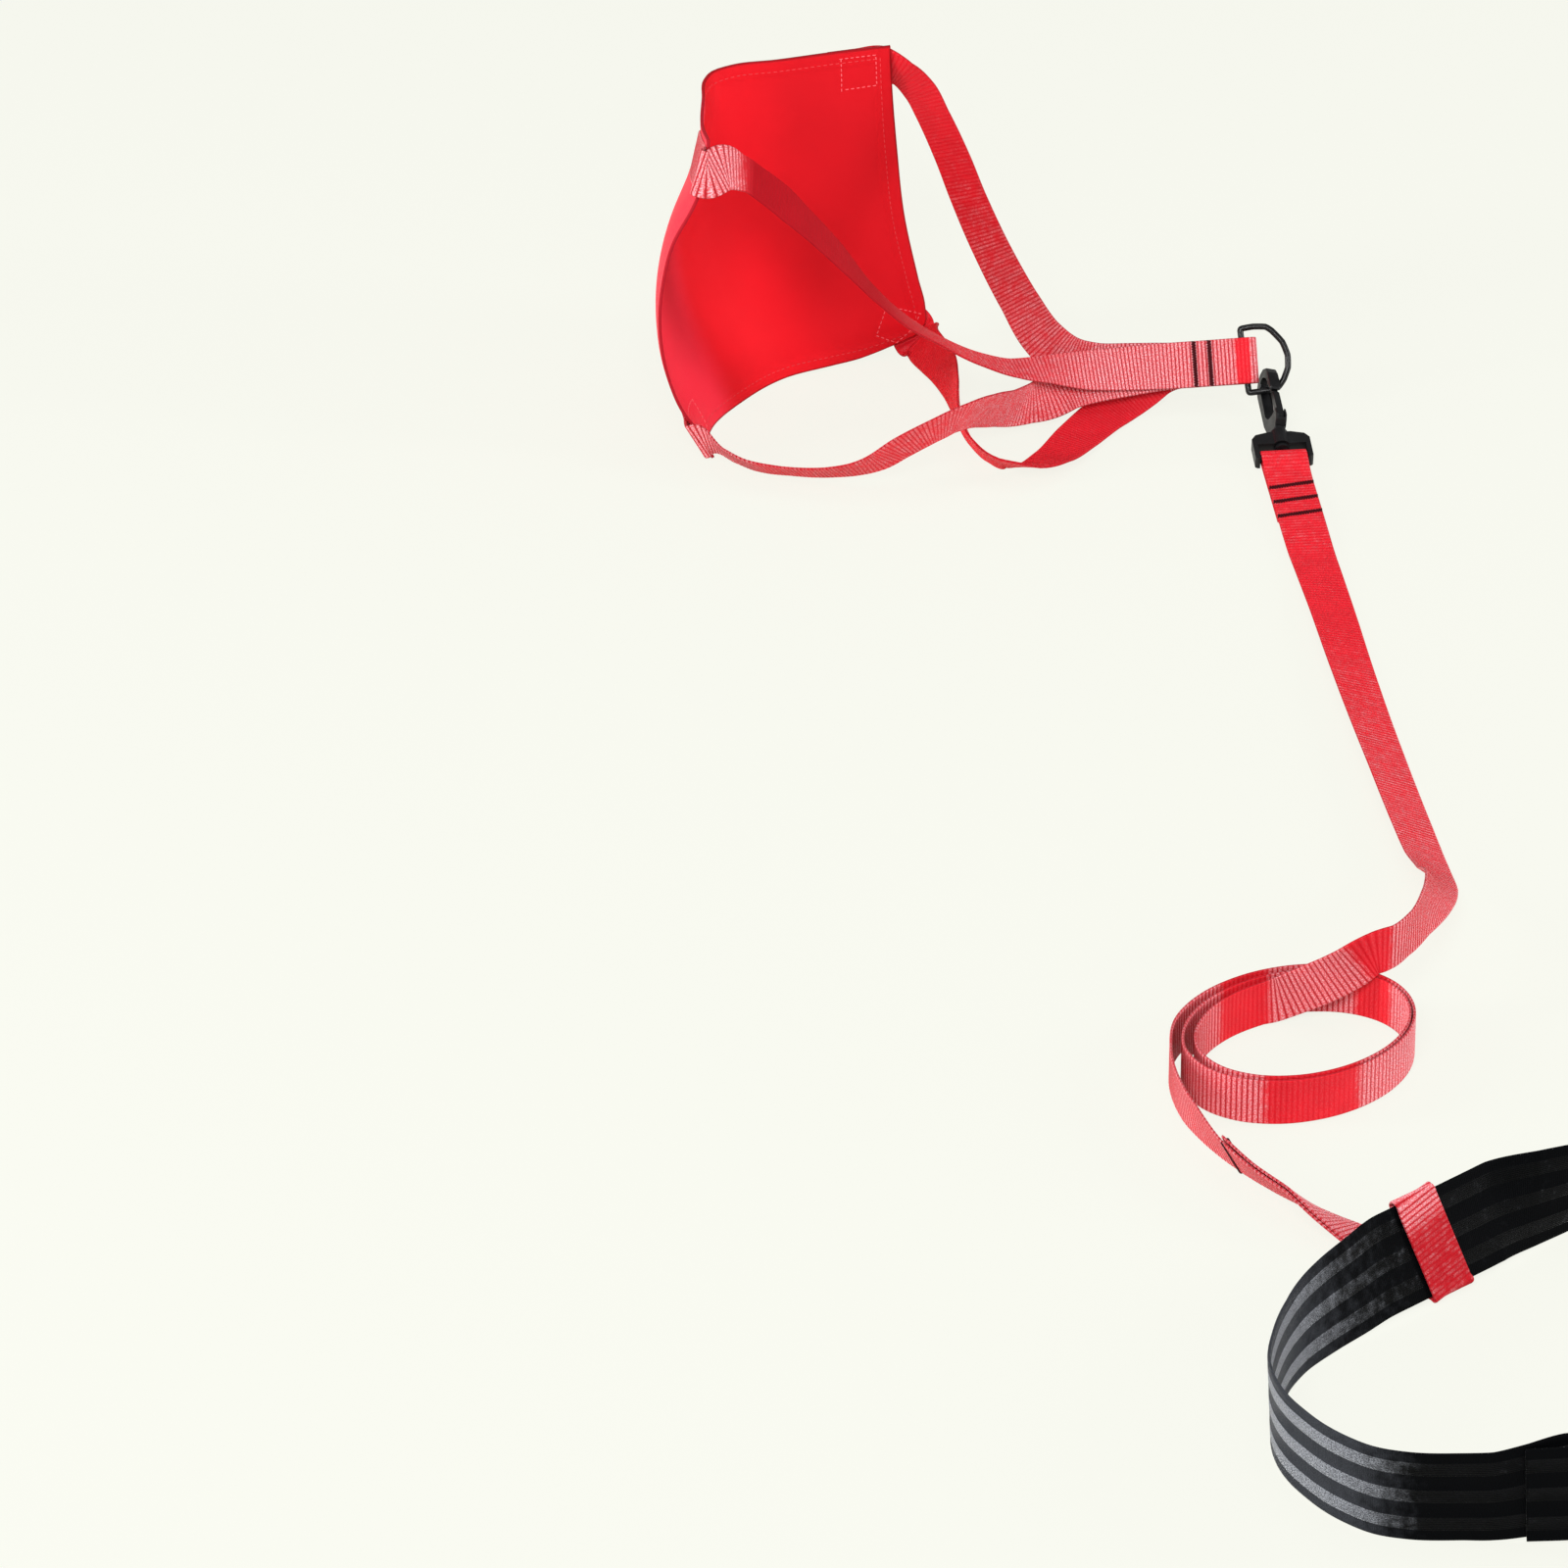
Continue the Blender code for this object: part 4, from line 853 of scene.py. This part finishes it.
def wire_ring(name, places, radius, sides, material, body, slot, node):
    """A closed round wire through the places, with its bends partly eased."""
    count = len(places)
    centres = []
    for i in range(count):
        before, here, after, last = (places[(i + k) % count] for k in (-1, 0, 1, 2))
        for t in (0.0, 0.25, 0.5, 0.75):
            bend = (
                2 * here + (after - before) * t
                + (2 * before - 5 * here + 4 * after - last) * t * t
                + (3 * here - before - 3 * after + last) * t**3
            ) / 2
            centres.append(bend.lerp(here.lerp(after, t), BEND_EASE))
    total = len(centres)
    normal = (places[1] - places[0]).cross(places[count // 2] - places[0]).normalized()
    verts, faces = [], []
    for i, centre in enumerate(centres):
        along = (centres[(i + 1) % total] - centres[i - 1]).normalized()
        side = normal.cross(along).normalized()
        for k in range(sides):
            angle = 2 * pi * k / sides
            verts.append(centre + (normal * sin(angle) + side * cos(angle)) * radius)
    for i in range(total):
        a, b = i * sides, ((i + 1) % total) * sides
        faces += [(a + k, b + k, b + (k + 1) % sides, a + (k + 1) % sides) for k in range(sides)]
    return new_piece(name, verts, faces, material, body, slot, node)


# A thread's rings: the place along its length, the girth and the lift, as shares of its length and radius
THREAD_RINGS = (
    (-0.5, 0.15, -0.9), (-0.38, 0.8, -0.25), (-0.15, 1.0, 0.12),
    (0.15, 1.0, 0.12), (0.38, 0.8, -0.25), (0.5, 0.15, -0.9),
)
THREAD_SIDES = 6
TACK_LEAN = 0.9
TACK_STRETCH = 1.15


def stitches(name, spots, radius, material, body, slot):
    """Short arched threads, each given by its middle, its way, the surface's direction and its length."""
    verts, faces = [], []
    for middle, way, out, length in spots:
        way, out = way.normalized(), out.normalized()
        side = way.cross(out).normalized()
        start = len(verts)
        for share, girth, lift in THREAD_RINGS:
            centre = middle + way * (share * length) + out * (lift * radius)
            for k in range(THREAD_SIDES):
                angle = 2 * pi * k / THREAD_SIDES
                verts.append(centre + (out * sin(angle) + side * cos(angle)) * radius * girth)
        last = len(verts) - THREAD_SIDES
        for a in range(start, last, THREAD_SIDES):
            faces += bridged(a, a + THREAD_SIDES, THREAD_SIDES)
        faces += [range(start, start + THREAD_SIDES)[::-1], range(last, len(verts))]
    return new_piece(name, verts, faces, material, body, slot)


def bar_tack(left, right, along, out, depth, pitch):
    """A dense zigzag of thread across a strap, given by its two ends."""
    along, out = along.normalized(), out.normalized()
    lean = (right - left).normalized() * pitch * TACK_LEAN
    count = round((right - left).length / pitch)
    found = []
    for k in range(count):
        way = along * depth + (lean if k % 2 else -lean)
        found.append((left.lerp(right, (k + 0.5) / count), way, out, depth * TACK_STRETCH))
    return found


# Chute: the cloth with turned hems, each corner taped by its strap

CLOTH_CELLS = 150
CLOTH_HALF = 0.00038
HEM_STEP = 0.00045
HEM_EASE = 0.0012
HEM_LINE = 0.0068
DENT_REACH = 0.0012
DENT_DEPTH = 0.00022
CALM_EDGE = 0.030
SOFT_WAVE = 0.0011
FINE_WAVE = 0.00028
SPAN_U = sum((cloth_place((k + 1) / 40, 0.5) - cloth_place(k / 40, 0.5)).length for k in range(40))
SPAN_V = sum((cloth_place(0.5, (k + 1) / 40) - cloth_place(0.5, k / 40)).length for k in range(40))


def from_edge(u, v):
    """How far a place on the cloth lies from the nearest edge, in metres."""
    return min(min(u, 1 - u) * SPAN_U, min(v, 1 - v) * SPAN_V)


def cloth_wrinkle(u, v):
    """Soft waves of limp cloth, calm at its sewn edges."""
    calm = min(1.0, from_edge(u, v) / CALM_EDGE)
    soft = noise.noise(Vector((u * 3.1, v * 2.3, 0.4)))
    fine = noise.noise(Vector((u * 9.0 + 4.0, v * 6.0, 1.7)))
    return calm * (SOFT_WAVE * soft + FINE_WAVE * fine)


def cloth_half(u, v):
    """Half of the cloth's thickness, with the turned hem and the groove that its sewn row pulls in."""
    edge = from_edge(u, v)
    hem = HEM_STEP * (1 - min(1.0, max(0.0, (edge - HEM_WIDTH) / HEM_EASE + 0.5)))
    dent = DENT_DEPTH * exp(-(((edge - HEM_LINE) / DENT_REACH) ** 2))
    return CLOTH_HALF + hem - dent


def cloth_spot(u, v, side):
    """A place on one face of the cloth, and the direction out of that face."""
    out = cloth_out(u, v)
    place = cloth_place(u, v) + out * cloth_wrinkle(u, v)
    return place + out * (cloth_half(u, v) * side), out * side


def chute():
    n = CLOTH_CELLS
    row = n + 1
    back = row * row
    verts, uv, edge, faces = [], [], [], []
    for side in (-1, 1):
        for i in range(row):
            for j in range(row):
                u, v = i / n, j / n
                verts.append(cloth_spot(u, v, side)[0])
                uv.append((u * SPAN_U, v * SPAN_V))
                edge.append((from_edge(u, v), 0.0))
    for i in range(n):
        for j in range(n):
            a = i * row + j
            b = a + row
            faces.append((a, b, b + 1, a + 1))
            faces.append((back + a, back + a + 1, back + b + 1, back + b))
    rim = [*range(0, n * row, row), *range(n * row, back - 1), *range(back - 1, n, -row), *range(n, 0, -1)]
    for a, b in zip(rim, rim[1:] + rim[:1]):
        faces.append((b, a, back + a, back + b))
    names = "tether_line", "red_cloth", "chute_panel"
    return new_piece("chute_cloth", verts, faces, cloth, *names, uv, edge)


HEM_PITCH = 0.0034
HEM_STITCH = 0.0026
HEM_THREAD = 0.00022


def along_cloth(line, pitch, length, side):
    """Stitches along a line of u, v places, on one face of the cloth."""
    places = [cloth_spot(u, v, side) for u, v in line]
    spots = []
    reach = 0.0
    for (p, out), (q, _) in zip(places, places[1:]):
        gap = (q - p).length
        while reach < gap:
            spots.append((p.lerp(q, reach / gap), q - p, out, length))
            reach += pitch
        reach -= gap
    return spots


def outline(corners, count):
    """Evenly spaced places along straight sides, from corner to corner."""
    places = []
    for (a, b), (c, d) in zip(corners, corners[1:]):
        places += [(a + (c - a) * k / count, b + (d - b) * k / count) for k in range(count)]
    return places + [tuple(corners[-1])]


chute_cloth = chute()
du, dv = HEM_LINE / SPAN_U, HEM_LINE / SPAN_V
hem = outline([(du, dv), (1 - du, dv), (1 - du, 1 - dv), (du, 1 - dv), (du, dv)], 40)
hem_rows = [s for side in (-1, 1) for s in along_cloth(hem, HEM_PITCH, HEM_STITCH, side)]
hem_stitches = stitches("hem_stitches", hem_rows, HEM_THREAD, red_thread, "tether_line", "red_cloth")


# Bridle: each strap starts and ends with a lap on the chute's back, here in u, v places

LAP_SPACE = 0.0004
FAR_LAP_SPACE = 0.0010
OUTER_START = [(0.14, 0.915), (0.08, 0.915), (0.03, 0.915)]
OUTER_END = [(0.84, 0.13), (0.91, 0.082), (0.97, 0.041)]
INNER_START = [(0.16, 0.075), (0.09, 0.075), (0.03, 0.075)]
INNER_END = [(0.82, 0.93), (0.90, 0.93), (0.97, 0.93)]

outer_knots = lap(OUTER_START, LAP_SPACE) + wrapped(OUTER_START[-1][1])
outer_knots += rolled(UPPER_NEAR_LEG) + ring_fold(1) + rolled(LOWER_FAR_LEG)[::-1]
outer_knots += [(metres(CORNER_PLACE), Vector(CORNER_WIDTH))] + lap(OUTER_END, LAP_SPACE)[::-1]
inner_knots = lap(INNER_START, LAP_SPACE) + wrapped(INNER_START[-1][1])
inner_knots += rolled(LOWER_NEAR_LEG) + ring_fold(0) + rolled(UPPER_FAR_LEG)[::-1]
inner_knots += lap(INNER_END, FAR_LAP_SPACE)[::-1]

WOVEN_THICK = 0.00118
RIDGE = 0.00012
ROLL = 0.00008


def stack_painted_light(x):
    """How much painted highlight the folded stack has along x, with a red stretch at the ring's bar."""
    return np.interp(x, (150, 180, 242.5, 246, 251, 252.5), (0.6, 0.9, 1.0, 0.0, 0.0, 0.8))


def outer_painted_light(x, y, z):
    """How much painted highlight and painted shade the outer strap's weave has at places along it, in the
    routes' millimetres.
    """
    upper = np.interp(x, (-28, -18, 64, 100, 150), (1.0, 0.0, 0.0, 0.35, 0.6))
    shade = np.interp(x, (-24, -16, 50, 95), (0.0, 1.0, 0.9, 0.0))
    lower = (z < 21) & (x < 204) & (x > 60)
    pale = np.where(lower, 0.12, np.where(x > 150, stack_painted_light(x), upper))
    return pale, np.where(lower, 0.1, shade)


def inner_painted_light(x, y, z):
    """The same painted highlight and shade for the inner strap: its upper leg is redder than its lower one.
    """
    upper = np.interp(z, (30, 80, 150), (0.55, 0.40, 0.10))
    lower = np.interp(x, (-24, -10, 90, 150), (0.9, 0.35, 0.45, 0.7))
    above = (y > 396) & (x < 165)
    pale = np.where(above, upper, np.where(x > 150, stack_painted_light(x), lower))
    return pale, np.where(above, 0.25, 0.0)


def tether_painted_light(x, y, z):
    """The same for the tether: painted highlight where it bends round the coil and over the belt, and
    painted shade low on the loop.
    """
    straight = np.interp(y, (-150, -60, 30, 110, 170, 250), (0.75, 0.50, 0.42, 0.30, 0.1, 0.25))
    back = np.interp(x, (210, 217, 234, 242, 278, 285, 295, 301), (1, 0, 0, 0.95, 0.95, 0, 0, 1))
    front = np.interp(x, (228, 237, 275, 283), (1, 0, 0, 1))
    wound = np.where(y > COIL_CENTRE[1], back, front)
    belt_side = y < -330
    over_belt = np.interp(z, (36, 45), (0.30, 0.95))
    at_loop = y < -440
    pale = np.where(belt_side, np.where(at_loop, over_belt, 0.75), np.where(y > -215, straight, wound))
    dark = np.where(at_loop, np.interp(z, (34, 46), (0.85, 0.0)), 0.0)
    return pale, dark


def red_strap(name, knots, node, pitch, look, painted_light):
    return webbing(
        name, knots, STRAP_WIDTH, WOVEN_THICK, pitch, RIDGE, ROLL, look, "tether_line", "red_webbing", node,
        painted_light,
    )


outer = red_strap(
    "bridle_outer_webbing", outer_knots, "bridle_strap_outer", RIB_PITCH, bridle_weave, outer_painted_light,
)
inner = red_strap(
    "bridle_inner_webbing", inner_knots, "bridle_strap_inner", RIB_PITCH, bridle_weave, inner_painted_light,
)
tether = red_strap("tether_woven", tether_knots, "tether_webbing", TETHER_PITCH, tether_weave, tether_painted_light)

# Waist belt

BELT_WOVEN = 0.00145
BELT_ROLL = 0.0001
BELT_CUT = 0.0080


def belt_painted_light(x, y, z):
    """Where the belt's weave carries painted sheen: at the bend opposite the buckle."""
    near_side = np.interp(x, (238, 258, 276, 296), (0.95, 0.75, 0.40, 0.0))
    far_side = np.interp(x, (230, 246, 262, 300), (0.95, 0.60, 0.30, 0.05))
    return np.where(y < -630, near_side, far_side), np.zeros_like(x)


def black_strap(name, knots, node, body):
    return webbing(
        name, knots, BELT_WIDTH, BELT_WOVEN, BELT_CUT, 0.0, BELT_ROLL, black_weave, body, "black_webbing",
        node, belt_painted_light, True,
    )


belt = black_strap("belt_woven", female_knots + belt_knots, "belt_webbing", "waist_belt")
belt_tail = black_strap("belt_tail_woven", adjust_knots, "belt_adjust_end", None)
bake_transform(belt_tail)

# Sewn rows: boxes on the laps, and bar tacks across the straps

BOX_INSET = 0.0030
BOX_LENGTH = 0.0220
BOX_PITCH = 0.0030
BOX_STITCH = 0.0022
BOX_THREAD = 0.00030


def lap_box(path):
    """The outline of the box stitched through a lap, as places on the cloth."""
    first, last = (Vector((u * SPAN_U, v * SPAN_V)) for u, v in (path[0], path[-1]))
    along = (last - first).normalized()
    across = Vector((-along.y, along.x)) * (STRAP_WIDTH / 2 - BOX_INSET)
    start = last - along * (BOX_LENGTH + BOX_INSET)
    end = last - along * BOX_INSET
    corners = [start + across, end + across, end - across, start - across, start + across]
    return [(x / SPAN_U, y / SPAN_V) for x, y in outline(corners, 6)]


box_rows = []
for path in (OUTER_START, OUTER_END, INNER_START, INNER_END):
    box_rows += along_cloth(lap_box(path), BOX_PITCH, BOX_STITCH, -1)
stitches("lap_boxes", box_rows, BOX_THREAD, pink_thread, "tether_line", "red_cloth")

STRAP_FACE = WOVEN_THICK / 2 + RIDGE
BELT_FACE = BELT_WOVEN / 2 + BAND_RAISE
STACK_ROWS = (-0.0270, -0.0187)
TETHER_ROWS = (-0.0300, -0.0455, -0.0605)
BELT_ROWS = (0.25, 0.60)
ROW_SLANT = 0.0022
TACK_HALF = 0.0122
TACK_DEPTH = 0.0024
TACK_PITCH = 0.0007
TACK_THREAD = 0.00048
TACK_LIFT = 0.0001
TETHER_TACK_DEPTH = 0.0036
BELT_TACK_HALF = 0.0238
BELT_TACK_PITCH = 0.0008
BELT_TACK_THREAD = 0.00042

tacks = []
stack_turn = stack_frame.to_3x3()
for row in STACK_ROWS:
    for face in (1, -1):
        flat = (1.5 * LAYER_STEP + STRAP_FACE + 2 * TACK_LIFT) * face
        ends = [stack_frame @ Vector((row, y, flat)) for y in (-TACK_HALF, TACK_HALF)]
        way, out = stack_turn @ Vector((1, 0, 0)), stack_turn @ UP * face
        tacks += bar_tack(*ends, way, out, TACK_DEPTH, TACK_PITCH)


def tack_near(
    knots, target, face, depth=TACK_DEPTH, pitch=TACK_PITCH, half=TACK_HALF, slant=0.0, above=STRAP_FACE,
):
    """A bar tack across a strap where it passes closest to a place, on one of its faces."""
    place, across, out, _ = webbing_run(knots, 0.004)
    i = int(np.argmin(np.linalg.norm(place - np.array(target), axis=1)))
    middle, wide = Vector(place[i]), Vector(across[i])
    up = Vector(out[i]) * face
    lift = up * (above + TACK_LIFT)
    way = ways([Vector(p) for p in place])[i].normalized()
    left, right = middle - wide * half + way * slant, middle + wide * half - way * slant
    return bar_tack(left + lift, right + lift, way, up, depth, pitch)


for row in TETHER_ROWS:
    place = flat_swivel @ Vector((0.0, row, 0.0))
    tacks += tack_near(tether_knots[9:20], place, 1, TETHER_TACK_DEPTH, slant=ROW_SLANT)
tail_end = tail_knots[-1][0].lerp(tail_knots[-2][0], 0.15)
for knots in (tail_knots, exit_knots):
    tacks += tack_near(knots, tail_end, 1)
stitches("bar_tacks", tacks, TACK_THREAD, maroon_thread, "tether_line", "red_webbing")

belt_tacks = []
for share in BELT_ROWS:
    place = belt_knots[0][0].lerp(belt_knots[1][0], share)
    for knots in (female_knots[:4], belt_knots[:4]):
        belt_tacks += tack_near(
            knots, place, -1, pitch=BELT_TACK_PITCH, half=BELT_TACK_HALF, above=BELT_FACE,
        )
stitches("belt_tacks", belt_tacks, BELT_TACK_THREAD, black_thread, "waist_belt", "black_webbing")

# Ring drawn anew as a round wire in place of its solid; hook and buckle keep their solids, with moulded and
# coated finishes

half = RING_BAR / 2
BOW = [
    (0.0, -half + 0.001), (0.0, -half / 3), (0.0, half / 3), (0.0, half - 0.001),
    (0.0012, half), (0.30 * RING_DEPTH, half + 0.0002), (0.58 * RING_DEPTH, half - 0.0008),
    (0.72 * RING_DEPTH, half - 0.0035), (0.92 * RING_DEPTH, half * 0.42), (RING_DEPTH, 0.0),
    (0.97 * RING_DEPTH, -half * 0.38), (0.84 * RING_DEPTH, -half * 0.72),
    (0.70 * RING_DEPTH, -half * 0.93), (0.55 * RING_DEPTH, -half), (0.0012, -half),
]
bow_places = [ring_frame @ Vector((x, y, 0.0)) for x, y in BOW]
wire_ring("ring_wire", bow_places, RING_DRAWN / 2, WIRE_SIDES, wire, "ring", "black_wire", "d_ring")

for node in (
    "hook_body", "hook_gate", "swivel_base", "buckle_male", "buckle_female", "buckle_prong_upper",
    "buckle_prong_lower", "gate_pin",
):
    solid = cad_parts[node]
    solid.data.materials.clear()
    solid.data.materials.append(wire if node == "gate_pin" else plastic)

# The spring leaf behind the gate, drawn as a thin steel strip

hook_frame = swivel_frame @ Matrix.Rotation(radians(-HOOK_ROLL), 4, "Y")
LEAF_ROWS = [(3.5, 25.4), (3.4, 28.0), (3.3, 31.5), (3.5, 35.0), (4.0, 38.0), (4.4, 40.0)]
LEAF_WIDTH = 0.0030
LEAF_THICK = 0.0005
LEAF_CUT = 0.002
leaf_knots = framed(hook_frame, [(x * MM, y * MM, 0.0) for x, y in LEAF_ROWS], UP)
leaf = webbing(
    "spring_leaf", leaf_knots, LEAF_WIDTH, LEAF_THICK, LEAF_CUT, 0.0, 0.0, steel, None, "spring_steel",
    "gate_spring",
)
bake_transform(leaf)

# Floor, light and view

GROUND = (0.939, 0.947, 0.871)
FLOOR = (0.80, 0.807, 0.742)
FLOOR_GLOW = 0.90
FLOOR_REACH = 6.0
SKY_STRENGTH = 0.30


def floor():
    """A wide table of even colour that takes soft shadows."""
    n = Nodes("floor")
    n.finish(FLOOR, 0.9, Specular_IOR_Level=0.0)
    rays = n.add("LightPath").outputs
    bounced = n.math("MAXIMUM", rays["Is Glossy Ray"], rays["Is Transmission Ray"])
    seen = n.math("MAXIMUM", rays["Is Camera Ray"], bounced)
    n.mix_shaders(n.times(seen, FLOOR_GLOW), GROUND, "Emission")
    mesh = bpy.data.meshes.new("floor")
    corners = [(x * FLOOR_REACH, y * FLOOR_REACH, 0) for x, y in ((-1, -1), (1, -1), (1, 1), (-1, 1))]
    mesh.from_pydata(corners, [], [(0, 1, 2, 3)])
    mesh.materials.append(n.owner)
    made = placed("floor", mesh)
    made.location.z = cad_low.z - 0.0002


def lamp(name, place, target, power, width, height):
    light = bpy.data.lights.new(name, "AREA")
    light.shape = "RECTANGLE"
    light.size, light.size_y = width, height
    light.energy = power
    made = placed(name, light)
    made.location = place
    made.rotation_euler = (Vector(target) - Vector(place)).to_track_quat("-Z", "Y").to_euler()


floor()
sky = Nodes("studio", world=True)
bpy.context.scene.world = sky.owner
sky.put(sky.shader.inputs["Color"], (1.0, 1.0, 1.0))
sky.put(sky.shader.inputs["Strength"], SKY_STRENGTH)
sky.mix_shaders(sky.add("LightPath").outputs["Is Camera Ray"], GROUND, "Background")
lamp("key", (-0.6, -2.85, 2.7), (0.0, 0.0, 0.05), 102.0, 1.6, 1.3)
lamp("left", (-2.3, -0.3, 0.75), (0.1, -0.1, 0.05), 34.0, 0.5, 1.2)
lamp("right", (2.3, -0.1, 0.75), (0.1, -0.1, 0.05), 32.0, 0.5, 1.2)
lamp("top", (0.2, 0.3, 3.2), (0.0, 0.0, 0.05), 17.0, 1.8, 1.8)

bpy.context.scene.view_settings.view_transform = "Standard"
